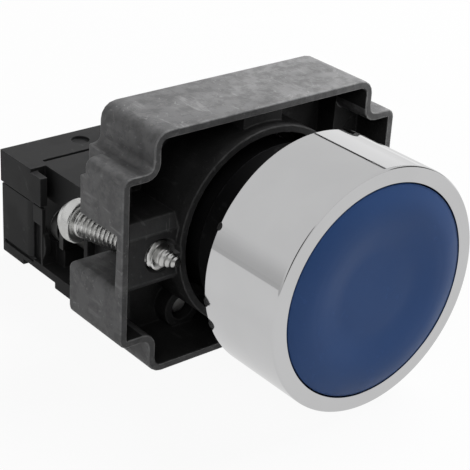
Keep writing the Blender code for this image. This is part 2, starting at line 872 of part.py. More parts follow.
def screw_boss(side):
    """Hollow boss between ear and collar that the clamp screw is tapped through."""
    half_height = CHANNEL_HEIGHT / 2 + BOSS_WALL
    front = base_front + BOSS_SETBACK
    back = base_floor + UNION_OVERLAP
    outline = [
        (front, half_height - BOSS_CHAMFER),
        (front, BOSS_CHAMFER - half_height),
        (front + BOSS_CHAMFER, -half_height),
        (back, -half_height),
        (back, half_height),
        (front + BOSS_CHAMFER, half_height),
    ]
    inner = side * collar_bore_radius
    outer = side * (base_half_width - BASE_WALL / 2)
    return prism("screw_boss", outline, "side", min(inner, outer), max(inner, outer))


def ear_reliefs(side):
    """Two steps cut from the outer back edge of the ear above the screw channel."""
    inner = side * (base_half_width - EAR_RELIEF_WIDTH)
    outer = side * (base_half_width + CUT_MARGIN)
    top = ear_half_height + CUT_MARGIN
    steps = [(0.0, EAR_RELIEF), (EAR_RELIEF_STEP_HEIGHT, EAR_RELIEF + EAR_RELIEF_STEP)]
    return [
        box(
            "ear_relief",
            (min(inner, outer), base_back - depth, bottom),
            (max(inner, outer), base_back + CUT_MARGIN, top),
        )
        for bottom, depth in steps
    ]


def clamp_axis_bar(name, radius, side):
    """A round bar along a clamp screw's axis through the front of the base."""
    length = BASE_DEPTH
    item = bar(name, radius, -length / 2, length / 2)
    centre = base_front + CHANNEL_STRIP
    item.location = (side * screw_axis_x(centre), centre, 0.0)
    item.rotation_euler = (math.pi / 2, 0.0, -side * screw_tilt)
    return item


def make_mounting_base():
    """Die-cast cup that locks on the tube and is jacked off the panel by two screws."""
    item = prism("mounting_base", cross_outline(0.0), "front", base_front, base_back)
    ear_cavity = prism(
        "ear_cavity",
        cross_outline(BASE_WALL),
        "front",
        base_front - CUT_MARGIN,
        base_back - EAR_FLOOR,
    )
    crown = crown_half_width - BASE_WALL
    height = base_half_height - BASE_WALL
    corner = CORNER_RADIUS - BASE_WALL
    crown_cavity = prism(
        "crown_cavity",
        rounded_outline([(u, v, corner) for u, v in rectangle((-crown, -height), (crown, height))]),
        "front",
        base_front + CUT_MARGIN,
        base_floor,
    )
    cut(item, ear_cavity, crown_cavity)

    web_back_depth = base_floor + UNION_OVERLAP
    join(item, bar("collar", collar_radius, collar_front, web_back_depth, steps=MEDIUM_STEPS))
    rib_top = base_half_height - BASE_WALL / 2
    for side in SIDES.values():
        join(item, screw_boss(side))
        rib = box(
            "rib",
            (-RIB_WIDTH / 2, base_front + RIB_SETBACK, min(side * rib_top, side * collar_bore_radius)),
            (RIB_WIDTH / 2, web_back_depth, max(side * rib_top, side * collar_bore_radius)),
        )
        tapped = bar(
            "tapped_boss",
            tunnel_radius + TAPPED_BOSS_WALL,
            base_floor - TAPPED_BOSS_LENGTH,
            web_back_depth,
            side * BLOCK_SCREW_OFFSET,
            block_screw_height,
        )
        join(item, rib, tapped)

    cut(
        item,
        bar("spigot_bore", collar_bore_radius, collar_front - CUT_MARGIN, lip_front, steps=MEDIUM_STEPS),
        bar("lip_bore", neck_radius + GAP, lip_front - CUT_MARGIN, base_back, steps=MEDIUM_STEPS),
        bar("lug_chamber", lug_reach, lip_back, base_back + CUT_MARGIN, steps=MEDIUM_STEPS),
    )
    entry = LUG_WIDTH / 2 + GAP
    entry_reach = neck_radius + LUG_HEIGHT + GAP
    cut(
        item,
        box(
            "lug_entry",
            (-entry_reach, lip_front - CUT_MARGIN / 2, -entry),
            (entry_reach, lip_back + CUT_MARGIN / 2, entry),
        ),
        box(
            "keyway",
            (-KEYWAY_WIDTH / 2, base_front - CUT_MARGIN, -collar_bore_radius - KEYWAY_DEPTH),
            (KEYWAY_WIDTH / 2, lip_front, 0.0),
        ),
    )
    for side in SIDES.values():
        channel = prism(
            "channel",
            mirrored(channel_outline(), side),
            "plan",
            -CHANNEL_HEIGHT / 2,
            CHANNEL_HEIGHT / 2,
        )
        tapped_hole = bar(
            "tapped_hole",
            tunnel_radius,
            base_floor - TAPPED_BOSS_LENGTH - CUT_MARGIN,
            base_back + CUT_MARGIN,
            side * BLOCK_SCREW_OFFSET,
            block_screw_height,
        )
        clamp_hole = clamp_axis_bar("clamp_hole", screw_radius + GAP, side)
        cut(item, channel, clamp_hole, tapped_hole, *ear_reliefs(side), *channel_edge_cutters(side))
    return dress(item, ZINC_CASTING)


def make_clamp_screw(name, side):
    """Pan head screw with a cone point, its axis tilted outwards to the back."""
    head_radius = SCREW_HEAD_DIAMETER / 2
    flat_radius = SCREW_HEAD_FLAT / 2
    crown_height = (SCREW_HEAD_SIDE + 2 * SCREW_HEAD_HEIGHT) / 3
    crown_radius = (2 * head_radius + flat_radius) / 3
    point_start = SCREW_LENGTH - SCREW_POINT_LENGTH
    item = turned(
        name,
        [
            (0.0, -SCREW_LENGTH),
            (SCREW_TIP_DIAMETER / 2, -SCREW_LENGTH),
            (SCREW_POINT_DIAMETER / 2, -point_start),
            (screw_radius, -point_start),
            (screw_radius, 0.0),
            (head_radius - EDGE_BREAK, 0.0),
            (head_radius, EDGE_BREAK),
            (head_radius, SCREW_HEAD_SIDE),
            (crown_radius, crown_height),
            (flat_radius, SCREW_HEAD_HEIGHT),
            (0.0, SCREW_HEAD_HEIGHT),
        ],
        SMALL_STEPS,
        closed=False,
    )
    item.location = (side * screw_head_offset, screw_seat, 0.0)
    item.rotation_euler = (math.pi / 2, 0.0, -side * screw_tilt)
    return dress(item, PLATED_STEEL)


def housing_outline():
    """Plan of the contact housing: a narrow nose and a wide body."""
    return [
        (-nose_half_width, block_front),
        (nose_half_width, block_front),
        (nose_half_width, screw_clear_depth),
        (block_half_width, screw_clear_depth),
        (block_half_width, block_back),
        (-block_half_width, block_back),
        (-block_half_width, screw_clear_depth),
        (-nose_half_width, screw_clear_depth),
    ]


def screw_channel(name, side, radius, front, back):
    """A round-bottomed channel for a terminal screw, open at the parting face."""
    x = side * terminal_offset
    half_steps = SMALL_STEPS // 2
    outline = [(x + radius, housing_top + CUT_MARGIN), (x - radius, housing_top + CUT_MARGIN)]
    for step in range(half_steps + 1):
        angle = math.pi * (1.0 + step / half_steps)
        outline.append((x + radius * math.cos(angle), contact_height + radius * math.sin(angle)))
    return prism(name, outline, "front", front, back)


def end_face_cutters(side):
    """Recess, slot and groove in one end face of the housing."""
    face = block_half_width
    outside = face + CUT_MARGIN
    groove_low = pocket_floor - END_GROOVE_HEIGHT
    slot_front = end_wall_front + END_RIB_LENGTH
    slot_back = slot_front + END_SLOT_LENGTH
    recess = [
        (outside, slot_back),
        (outside, slot_back + END_RECESS_LENGTH),
        (face, slot_back + END_RECESS_LENGTH),
        (face - END_RECESS_DEPTH, slot_back),
    ]
    slot = rectangle((face - END_SLOT_DEPTH, slot_front), (outside, slot_back + GAP))
    groove = rectangle((face - END_GROOVE_DEPTH, slot_back), (outside, block_back - END_GROOVE_DEPTH))
    return [
        prism("end_recess", mirrored(recess, side), "plan", pocket_floor, housing_top + CUT_MARGIN),
        prism("end_slot", mirrored(slot, side), "plan", pocket_floor, contact_height),
        prism("end_groove", mirrored(groove, side), "plan", groove_low, groove_low + END_GROOVE_HEIGHT),
    ]


def end_bulge(side):
    """Rounded swelling on the front edge of an end wall."""
    outer = side * (block_half_width - FACE_STEP)
    inner = side * (block_half_width - END_WALL + FACE_STEP)
    centre_depth = end_wall_front - END_BULGE_RISE + END_BULGE_RADIUS
    centre_height = block_bottom + END_BULGE_HEIGHT
    outline = []
    for step in range(SMALL_STEPS):
        angle = 2.0 * math.pi * step / SMALL_STEPS
        outline.append(
            (
                centre_depth + END_BULGE_RADIUS * math.cos(angle),
                centre_height + END_BULGE_RADIUS * math.sin(angle),
            )
        )
    return prism("end_bulge", outline, "side", min(inner, outer), max(inner, outer))


def terminal_cutters(side):
    """Pocket, doorway and screw channels cut from the housing for one terminal."""
    outside = block_half_width + CUT_MARGIN
    relief_inner = block_half_width - 2 * END_WALL
    top = housing_top + CUT_MARGIN
    pocket_front = terminal_front - GAP
    pocket_back = clamp_back + GAP
    shank_end = terminal_head_front - TERMINAL_SCREW_LENGTH - GAP
    pocket = [
        (pocket_inner, pocket_front),
        (outside, pocket_front),
        (outside, end_wall_front),
        (relief_inner, end_wall_front),
        (relief_inner, pocket_back),
        (pocket_inner, pocket_back),
    ]
    doorway = rectangle(
        (mechanism_half_width - GAP, pocket_front),
        (pocket_inner + GAP, terminal_back + GAP),
    )
    return [
        prism("wire_pocket", mirrored(pocket, side), "plan", pocket_floor, top),
        prism("strip_doorway", mirrored(doorway, side), "plan", strip_low - GAP, top),
        screw_channel("shank_channel", side, shank_radius, shank_end, terminal_front),
        screw_channel("driver_channel", side, driver_radius, clamp_back, block_back + CUT_MARGIN),
    ]


def block_screw_cutters(side):
    """Tunnel and head pocket for one of the screws that hold the block."""
    x = side * BLOCK_SCREW_OFFSET
    tunnel_front = block_front - CUT_MARGIN
    pocket_front = block_back - BLOCK_SCREW_SINK - BLOCK_SCREW_HEAD_HEIGHT - GAP
    pocket_back = block_back + CUT_MARGIN
    return [
        bar("block_screw_tunnel", tunnel_radius, tunnel_front, block_back, x, block_screw_height),
        bar("block_screw_pocket", head_pocket_radius, pocket_front, pocket_back, x, block_screw_height),
    ]


def make_contact_housing():
    """Moulded tray that holds contacts, plunger and terminals."""
    item = prism("contact_housing", housing_outline(), "plan", block_bottom, housing_top)
    top = housing_top + CUT_MARGIN
    half = mechanism_half_width
    chamber = box("mechanism_chamber", (-half, mechanism_front, mechanism_floor), (half, mechanism_back, top))
    tip_half = PLUNGER_TIP_WIDTH / 2 + GAP
    window = box(
        "plunger_window",
        (-tip_half, block_front - CUT_MARGIN, contact_height - PLUNGER_TIP_HEIGHT / 2 - GAP),
        (tip_half, mechanism_front + GAP, top),
    )
    wide = block_half_width + CUT_MARGIN
    relief_back = block_back - FOOT_LENGTH
    relief = box(
        "foot_relief",
        (-wide, relief_back - FOOT_RELIEF_LENGTH, block_bottom - CUT_MARGIN),
        (wide, relief_back, block_bottom + FOOT_HEIGHT),
    )
    cut(item, chamber, window, relief)
    for side in SIDES.values():
        cut(item, *terminal_cutters(side), *block_screw_cutters(side))
        join(item, end_bulge(side))
        cut(item, *end_face_cutters(side))
    return dress(item, BLACK_PLASTIC)


def make_contact_cover():
    """Lid of the contact block, narrow in front and as wide as the body behind."""
    waist = waist_half_width
    tail = tail_half_width
    outline = [
        (-waist, block_front),
        (waist, block_front),
        (waist, tail_front),
        (tail, tail_front),
        (tail, block_back),
        (-tail, block_back),
        (-tail, tail_front),
        (-waist, tail_front),
    ]
    item = prism("contact_cover", outline, "plan", cover_bottom, 0.0)
    for side in SIDES.values():
        tab = rectangle((tail - END_WALL, end_wall_front), (tail, tail_front + UNION_OVERLAP))
        join(item, prism("end_tab", mirrored(tab, side), "plan", cover_bottom, -COVER_TAB_DROP))
        cut(item, post_hole(side))
    groove_middle = block_back - COVER_GROOVE_INSET
    groove_end = tail - COVER_GROOVE_MARGIN
    groove = box(
        "cover_groove",
        (-groove_end, groove_middle - COVER_GROOVE_WIDTH / 2, -COVER_GROOVE_WIDTH),
        (groove_end, groove_middle + COVER_GROOVE_WIDTH / 2, CUT_MARGIN),
    )
    cut(item, groove)
    return dress(item, BLACK_PLASTIC)


def post_hole(side):
    """A shallow round hole in the top of the cover."""
    shape = bmesh.new()
    bmesh.ops.create_cone(
        shape,
        cap_ends=True,
        segments=SMALL_STEPS,
        radius1=POST_HOLE_DIAMETER / 2,
        radius2=POST_HOLE_DIAMETER / 2,
        depth=2 * POST_HOLE_DEPTH,
    )
    place_at = (side * POST_HOLE_SPACING / 2, block_back - POST_HOLE_INSET, 0.0)
    return place("post_hole", mesh_from(shape), place_at)


def make_contact_plunger():
    """Plunger with a tip in the base, a shoulder, and a rod for bridge and springs."""
    item = box(
        "contact_plunger",
        (-PLUNGER_TIP_WIDTH / 2, plunger_front, contact_height - PLUNGER_TIP_HEIGHT / 2),
        (PLUNGER_TIP_WIDTH / 2, shoulder_front + UNION_OVERLAP, contact_height + PLUNGER_TIP_HEIGHT / 2),
    )
    shoulder = box(
        "shoulder",
        (-SHOULDER_WIDTH / 2, shoulder_front, mechanism_floor + SHOULDER_CLEARANCE),
        (SHOULDER_WIDTH / 2, shoulder_back, housing_top - SHOULDER_CLEARANCE),
    )
    rod = turned(
        "rod",
        [
            (0.0, shoulder_back - UNION_OVERLAP),
            (rod_radius, shoulder_back - UNION_OVERLAP),
            (rod_radius, rod_collar_front),
            (rod_collar_radius, rod_collar_front),
            (rod_collar_radius, rod_collar_back),
            (rod_radius, rod_collar_back),
            (rod_radius, rod_back),
            (0.0, rod_back),
        ],
        SMALL_STEPS,
        z=contact_height,
        closed=False,
    )
    join(item, shoulder, rod)
    return dress(item, GREEN_PLASTIC)


def contact_tip(name, x, base, direction):
    """A domed contact tip that stands on a contact's face."""
    root = base - direction * UNION_OVERLAP
    top = base + direction * CONTACT_TIP_HEIGHT
    profile = [
        (0.0, root),
        (CONTACT_TIP_RADIUS, root),
        (CONTACT_TIP_RADIUS, top - direction * CONTACT_TIP_DOME),
        (CONTACT_TIP_RADIUS - CONTACT_TIP_DOME, top),
        (0.0, top),
    ]
    if direction < 0:
        profile.reverse()
    return turned(name, profile, SMALL_STEPS // 2, x, contact_height, closed=False)


def make_contact_bridge():
    """Moving bar that joins the two fixed contacts when the button is pressed."""
    half = BRIDGE_LENGTH / 2
    tall = BRIDGE_HEIGHT / 2
    low = BRIDGE_END_HEIGHT / 2
    neck = BRIDGE_NECK_OFFSET
    outline = [
        (half, -low),
        (half, low),
        (neck + tall - low, low),
        (neck, tall),
        (-neck, tall),
        (low - tall - neck, low),
        (-half, low),
        (-half, -low),
        (low - tall - neck, -low),
        (-neck, -tall),
        (neck, -tall),
        (neck + tall - low, -low),
    ]
    item = prism("contact_bridge", outline, "front", bridge_front, bridge_back)
    item.location.z = contact_height
    for side in SIDES.values():
        join(item, contact_tip("moving_tip", side * CONTACT_TIP_OFFSET, bridge_back, 1))
    rod_hole = bar(
        "rod_hole",
        rod_radius + GAP,
        bridge_front - CUT_MARGIN,
        bridge_back + CUT_MARGIN,
        z=contact_height,
    )
    cut(item, rod_hole)
    return dress(item, BRASS)


def make_fixed_contact(name, side):
    """Bent strip from the terminal, along the chamber, to the contact point."""
    inner = STRIP_INNER_END
    leg = strip_leg
    outer = terminal_offset + CLAMP_PLATE_SIZE / 2
    thick = STRIP_THICKNESS
    contact_back = strip_contact_front + thick
    outline = [
        (inner, strip_contact_front),
        (leg, strip_contact_front),
        (leg, terminal_front),
        (outer, terminal_front),
        (outer, terminal_back),
        (leg + thick, terminal_back),
        (leg + thick, contact_back),
        (inner, contact_back),
    ]
    item = prism(name, mirrored(outline, side), "plan", strip_low, strip_high)
    join(item, contact_tip("fixed_tip", side * CONTACT_TIP_OFFSET, strip_contact_front, -1))
    hole = bar(
        "terminal_hole",
        shank_radius,
        terminal_front - CUT_MARGIN,
        terminal_back + CUT_MARGIN,
        side * terminal_offset,
        contact_height,
    )
    cut(item, hole)
    return dress(item, BRASS)


def make_clamp_plate(name, side):
    """Square plate under a terminal screw's head that grips the wire."""
    half = CLAMP_PLATE_SIZE / 2
    x = side * terminal_offset
    item = box(
        name,
        (x - half, clamp_front, contact_height - half),
        (x + half, clamp_back, contact_height + half),
    )
    hole_front = clamp_front - CUT_MARGIN
    hole_back = clamp_back + CUT_MARGIN
    cut(item, bar("plate_hole", shank_radius, hole_front, hole_back, x, contact_height))
    return dress(item, PLATED_STEEL)


def headed_screw(name, radius, head_radius, tip, seat, top, x, z):
    """A plain screw along Y with its head at the back."""
    item = turned(
        name,
        [
            (0.0, tip),
            (radius - EDGE_BREAK, tip),
            (radius, tip + EDGE_BREAK),
            (radius, seat),
            (head_radius, seat),
            (head_radius, top - EDGE_BREAK),
            (head_radius - EDGE_BREAK, top),
            (0.0, top),
        ],
        SMALL_STEPS,
        x,
        z,
        closed=False,
    )
    return dress(item, PLATED_STEEL)


def make_terminal_screw(name, side):
    """Screw of one terminal, reached from the back of the block."""
    return headed_screw(
        name,
        TERMINAL_DIAMETER / 2,
        TERMINAL_HEAD_DIAMETER / 2,
        terminal_head_front - TERMINAL_SCREW_LENGTH,
        terminal_head_front,
        terminal_head_front + TERMINAL_HEAD_HEIGHT,
        side * terminal_offset,
        contact_height,
    )


def make_block_screw(name, side):
    """Long screw through the block into the base."""
    top = block_back - BLOCK_SCREW_SINK
    return headed_screw(
        name,
        BLOCK_SCREW_DIAMETER / 2,
        BLOCK_SCREW_HEAD_DIAMETER / 2,
        base_back - BLOCK_SCREW_ENGAGEMENT,
        top - BLOCK_SCREW_HEAD_HEIGHT,
        top,
        side * BLOCK_SCREW_OFFSET,
        block_screw_height,
    )


def make_head():
    """All pieces of the button head."""
    make_bezel()
    make_gasket()
    make_head_body()
    make_push_cap()
    make_cap_stem()
    make_retaining_ring()
    make_pusher()
    make_stem_seal()
    make_spring(
        "return_spring",
        RETURN_SPRING_WIRE,
        return_spring_radius,
        RETURN_SPRING_TURNS,
        cap_back + GAP,
        WEB_DEPTH - GAP,
    )


def make_base():
    """The base with its two clamp screws."""
    make_mounting_base()
    for word, side in SIDES.items():
        make_clamp_screw("clamp_screw_" + word, side)


def make_contact_block():
    """All pieces of the contact block."""
    make_contact_housing()
    make_contact_cover()
    make_contact_plunger()
    make_contact_bridge()
    make_spring(
        "bridge_spring",
        CONTACT_SPRING_WIRE,
        contact_spring_radius,
        BRIDGE_SPRING_TURNS,
        shoulder_back + GAP,
        bridge_front - GAP,
        contact_height,
    )
    make_spring(
        "plunger_spring",
        CONTACT_SPRING_WIRE,
        contact_spring_radius,
        PLUNGER_SPRING_TURNS,
        rod_collar_back + GAP,
        mechanism_back - GAP,
        contact_height,
    )
    for word, side in SIDES.items():
        make_fixed_contact("fixed_contact_" + word, side)
        make_clamp_plate("clamp_plate_" + word, side)
        make_terminal_screw("terminal_screw_" + word, side)
        make_block_screw("block_screw_" + word, side)


make_head()
make_base()
make_contact_block()
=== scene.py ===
"""Looks of a panel push button: plated bezel, blue cap, cast clamp base and contact block.

X runs to the right, Y runs into the panel and Z runs up, in metres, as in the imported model.
The plane y = 0 is the front of the panel and the line x = z = 0 is the axis of the button.
"""

import logging
import math
from collections.abc import Callable, Sequence
from dataclasses import dataclass
from enum import Enum

import bmesh
import bpy
from mathutils import Matrix, Vector


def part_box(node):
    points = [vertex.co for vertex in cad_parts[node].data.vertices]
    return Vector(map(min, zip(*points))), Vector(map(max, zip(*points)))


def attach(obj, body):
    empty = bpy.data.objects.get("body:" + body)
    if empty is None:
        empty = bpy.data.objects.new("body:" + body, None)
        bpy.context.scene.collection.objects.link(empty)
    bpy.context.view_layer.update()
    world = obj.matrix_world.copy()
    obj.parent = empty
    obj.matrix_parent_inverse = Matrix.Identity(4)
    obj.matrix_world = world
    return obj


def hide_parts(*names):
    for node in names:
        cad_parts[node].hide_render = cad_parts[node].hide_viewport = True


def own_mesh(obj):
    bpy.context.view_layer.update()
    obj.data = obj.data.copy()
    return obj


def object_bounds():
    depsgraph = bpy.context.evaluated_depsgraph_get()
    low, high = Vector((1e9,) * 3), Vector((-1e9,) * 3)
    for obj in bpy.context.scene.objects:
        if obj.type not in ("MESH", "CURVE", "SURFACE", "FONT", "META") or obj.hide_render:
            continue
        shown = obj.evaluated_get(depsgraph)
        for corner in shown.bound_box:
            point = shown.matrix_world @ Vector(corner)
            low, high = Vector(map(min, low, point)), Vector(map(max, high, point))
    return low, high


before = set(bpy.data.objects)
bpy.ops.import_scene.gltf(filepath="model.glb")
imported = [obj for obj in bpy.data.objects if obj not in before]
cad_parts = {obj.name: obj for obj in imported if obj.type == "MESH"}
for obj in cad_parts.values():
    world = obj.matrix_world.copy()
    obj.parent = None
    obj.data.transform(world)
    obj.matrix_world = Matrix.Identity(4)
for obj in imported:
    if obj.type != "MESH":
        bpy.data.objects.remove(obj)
cad_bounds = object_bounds()

LOG = logging.getLogger("push_button")
EDGE_MASK = "edge_mask"
# Mask of the painted shade inside the casting's cup, with a smaller share of the same darkening on its rim
CUP_SHADE_AND_RIM_MASK = "cup_shade_and_rim_mask"
WELD_DISTANCE = 1e-6
FLAT_ANGLE = math.radians(0.6)
BEVEL_ANGLE = math.radians(32.0)
SMOOTH_ANGLE = math.radians(40.0)
AREA_POWER = 3
MILLIMETRES = 1000.0

# Near black that the painted shade in corners and recesses blends towards
PAINTED_SHADE_COLOUR = (0.006, 0.006, 0.006)

# Sockets of a Mix node that mixes colours: factor, first and second colour, and the result
MIX_INPUTS = (0, 6, 7)
MIX_RESULT = 2

Triple = tuple[float, float, float]
Colour = Triple
Profile = list[tuple[float, float]]
# Radius, depth and rounding of a corner of a profile
Corner = Triple
# Normal and area of a flat
Flat = tuple[float, float, float, float]
# Direction and half angle of a cone of rays
Cone = tuple[Triple, float]
Ring = list[bmesh.types.BMVert]


class Body(Enum):
    """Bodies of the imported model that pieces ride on."""

    ROOT = "root"
    BUTTON = "button"
    PLUNGER = "contact_plunger"
    BRIDGE = "contact_bridge"


class Side(Enum):
    """The two sides of the button, as the sign of x."""

    LEFT = -1
    RIGHT = 1

    @property
    def word(self) -> str:
        """The side's word in the names of nodes."""
        return self.name.lower()


class End(Enum):
    """The two ends of a spring."""

    FRONT = "front"
    BACK = "back"


class Drive(Enum):
    """Recess in a screw's head: turns of its slots in degrees, and their reach in head radii."""

    SLOT = ((0.0,), 1.2)
    CROSS = ((45.0, 135.0), 0.5)


class NodeSheet:
    """A node tree that is filled with short calls."""

    def __init__(self, tree: bpy.types.NodeTree) -> None:
        """Keep the tree that is filled."""
        self.tree = tree

    def node(self, kind: str, settings: dict | None = None, **inputs: object) -> bpy.types.Node:
        """Add a node, set its properties and fill its inputs.

        Args:
            kind: Blender's type name for the node.
            settings: Properties of the node by name.
            inputs: Inputs by name, with _ for a space. A socket is linked, a value is set.

        Returns:
            The new node.
        """
        made = self.tree.nodes.new(kind)
        for key, value in (settings or {}).items():
            setattr(made, key, value)
        for key, value in inputs.items():
            self.feed(made.inputs[key.replace("_", " ")], value)
        return made

    def feed(self, socket: bpy.types.NodeSocket, value: object) -> None:
        """Link a socket into an input, or set the input's value.

        Args:
            socket: The input to fill.
            value: An output socket, a number or a tuple.
        """
        if isinstance(value, bpy.types.NodeSocket):
            self.tree.links.new(value, socket)
        else:
            socket.default_value = value

    def mix(self, factor: object, first: object, second: object) -> bpy.types.NodeSocket:
        """Mix two colours.

        Args:
            factor: Share of the second colour.
            first: Colour or socket.
            second: Colour or socket.

        Returns:
            The mixed colour.
        """
        made = self.tree.nodes.new("ShaderNodeMix")
        made.data_type = "RGBA"
        for index, value in zip(MIX_INPUTS, (factor, first, second)):
            self.feed(made.inputs[index], (*value, 1.0) if isinstance(value, tuple) else value)
        return made.outputs[MIX_RESULT]

    def blend(self, mask: object, share: float, first: object, second: object) -> bpy.types.NodeSocket:
        """Lay a second colour over a first one where a mask is.

        Args:
            mask: Where the second colour lies, from 0 to 1.
            share: Share of the second colour where the mask is full.
            first: Colour or socket.
            second: Colour or socket.

        Returns:
            The mixed colour.
        """
        return self.mix(self.math("MULTIPLY", mask, share), first, second)

    def math(self, operation: str, *values: object) -> bpy.types.NodeSocket:
        """Work out a value from one or two others.

        Args:
            operation: Blender's name of the operation.
            values: Numbers or sockets.

        Returns:
            The result.
        """
        made = self.node("ShaderNodeMath", {"operation": operation})
        for socket, value in zip(made.inputs, values):
            self.feed(socket, value)
        return made.outputs[0]

    def remap(
        self, value: object, low: float, high: float, new_low: float = 0.0, new_high: float = 1.0
    ) -> bpy.types.NodeSocket:
        """Stretch a range of a value onto another range, with soft ends.

        Args:
            value: The value to stretch.
            low: Start of the old range.
            high: End of the old range.
            new_low: Start of the new range.
            new_high: End of the new range.

        Returns:
            The stretched value.
        """
        made = self.node(
            "ShaderNodeMapRange",
            {"interpolation_type": "SMOOTHSTEP"},
            Value=value,
            From_Min=low,
            From_Max=high,
            To_Min=new_low,
            To_Max=new_high,
        )
        return made.outputs[0]

    def noise(
        self, vector: object, scale: object, detail: float, rough: float
    ) -> bpy.types.NodeSocket:
        """Cloudy noise over the surface.

        Args:
            vector: Coordinates in metres.
            scale: Clouds per metre.
            detail: Number of finer layers.
            rough: Share of the finer layers.

        Returns:
            A value from 0 to 1.
        """
        made = self.node("ShaderNodeTexNoise", Vector=vector, Scale=scale, Detail=detail, Roughness=rough)
        return made.outputs[0]

    def place(self) -> bpy.types.NodeSocket:
        """Coordinates of the surface in metres."""
        return self.node("ShaderNodeTexCoord").outputs["Object"]


@dataclass(frozen=True)
class Clouds:
    """Cloudy patches on a surface, with the range of noise over which they fade in."""

    scale: float
    detail: float
    rough: float
    low: float
    high: float
    least: float = 0.0

    def mask(
        self, sheet: NodeSheet, place: bpy.types.NodeSocket, unit: bpy.types.NodeSocket | None = None
    ) -> bpy.types.NodeSocket:
        """Draw the patches.

        Args:
            sheet: Nodes of a material or of a group.
            place: Coordinates in metres.
            unit: A scale that the patches' own scale multiplies, if there is one.

        Returns:
            A mask from the least value between the patches to 1 inside them.
        """
        scale = self.scale if unit is None else sheet.math("MULTIPLY", unit, self.scale)
        noise = sheet.noise(place, scale, self.detail, self.rough)
        return sheet.remap(noise, self.low, self.high, self.least)


GroupFill = Callable[[NodeSheet, bpy.types.Node, bpy.types.Node], None]


@dataclass(frozen=True)
class Effect:
    """A surface effect that several finishes share, as a shader node group."""

    name: str
    inputs: tuple[tuple[str, float], ...]
    outputs: tuple[str, ...]
    fill: GroupFill

    def tree(self) -> bpy.types.NodeTree:
        """Build the group, or find it if it is built.

        Returns:
            The node group.
        """
        known = bpy.data.node_groups.get(self.name)
        if known:
            return known
        tree = bpy.data.node_groups.new(self.name, "ShaderNodeTree")
        for name, value in self.inputs:
            socket = tree.interface.new_socket(name, in_out="INPUT", socket_type="NodeSocketFloat")
            socket.default_value = value
        for name in self.outputs:
            tree.interface.new_socket(name, in_out="OUTPUT", socket_type="NodeSocketFloat")
        sheet = NodeSheet(tree)
        self.fill(sheet, sheet.node("NodeGroupInput"), sheet.node("NodeGroupOutput"))
        return tree

    def put(self, sheet: NodeSheet, **inputs: float) -> bpy.types.Node:
        """Place the group in a material.

        Args:
            sheet: The material's nodes.
            inputs: Values of the group's inputs by name.

        Returns:
            The group node.
        """
        return sheet.node("ShaderNodeGroup", {"node_tree": self.tree()}, **inputs)


FLECKS = Clouds(scale=0.31, detail=5.0, rough=0.7, low=0.58, high=0.74)
SMUDGES = Clouds(scale=1.0, detail=3.0, rough=0.55, low=0.36, high=0.66)
SCRATCH_LINES = Clouds(scale=9.0, detail=2.0, rough=0.5, low=0.66, high=0.7)
SCRATCH_STRETCHES = Clouds(scale=2.2, detail=2.0, rough=0.5, low=0.5, high=0.62)
RUBBED_STRETCHES = Clouds(scale=1.0, detail=4.0, rough=0.65, low=0.36, high=0.68, least=0.15)
# Ragged edge of the painted shade in corners and recesses
RAGGED_SHADE_EDGE = Clouds(scale=420.0, detail=4.0, rough=0.6, low=0.2, high=0.8, least=0.85)
SCRATCH_TURNS = ((0.5, 0.2, 0.65), (1.9, 0.76, 2.47), (2.7, 1.08, 3.51))
SCRATCH_STRETCH = (1.0, 0.05, 1.0)
GRAIN_DETAIL = 4.0
GRAIN_ROUGH = 0.62
DIMPLE_RANGE = (0.05, 0.55)
CORNER_RANGE = (0.2, 0.8)
CORNER_RAYS = 6


def fill_grain(sheet: NodeSheet, given: bpy.types.Node, result: bpy.types.Node) -> None:
    """Fine grain of a mould or a casting, with sparse flecks.

    Args:
        sheet: Nodes of the group.
        given: The group's inputs.
        result: The group's outputs.
    """
    place = sheet.place()
    scale = given.outputs["Scale"]
    fine = sheet.noise(place, scale, GRAIN_DETAIL, GRAIN_ROUGH)
    cells = sheet.node("ShaderNodeTexVoronoi", Vector=place, Scale=scale)
    dimple = sheet.remap(cells.outputs["Distance"], *DIMPLE_RANGE)
    height = sheet.math("MULTIPLY", sheet.math("ADD", fine, dimple), 0.5)
    sheet.feed(result.inputs["Height"], height)
    sheet.feed(result.inputs["Fleck"], FLECKS.mask(sheet, place, scale))


def fill_handling(sheet: NodeSheet, given: bpy.types.Node, result: bpy.types.Node) -> None:
    """Smudges and fine straight scratches of handling.

    Args:
        sheet: Nodes of the group.
        given: The group's inputs.
        result: The group's outputs.
    """
    place = sheet.place()
    scale = given.outputs["Scale"]
    scratch = 0.0
    for turn in SCRATCH_TURNS:
        turned = sheet.node("ShaderNodeMapping", Vector=place, Rotation=turn)
        drawn = sheet.node("ShaderNodeVectorMath", {"operation": "MULTIPLY"})
        sheet.feed(drawn.inputs[0], turned.outputs[0])
        sheet.feed(drawn.inputs[1], SCRATCH_STRETCH)
        scratch = sheet.math("MAXIMUM", scratch, SCRATCH_LINES.mask(sheet, drawn.outputs[0], scale))
    broken = sheet.math("MULTIPLY", scratch, SCRATCH_STRETCHES.mask(sheet, place, scale))
    sheet.feed(result.inputs["Smudge"], SMUDGES.mask(sheet, place, scale))
    sheet.feed(result.inputs["Scratch"], broken)


def fill_wear(sheet: NodeSheet, given: bpy.types.Node, result: bpy.types.Node) -> None:
    """Rubbed edges, broken up along their length.

    Args:
        sheet: Nodes of the group.
        given: The group's inputs.
        result: The group's outputs.
    """
    edge = sheet.node("ShaderNodeAttribute", {"attribute_name": EDGE_MASK}).outputs["Fac"]
    broken = RUBBED_STRETCHES.mask(sheet, sheet.place(), given.outputs["Scale"])
    sheet.feed(result.inputs["Mask"], sheet.math("MULTIPLY", edge, broken))


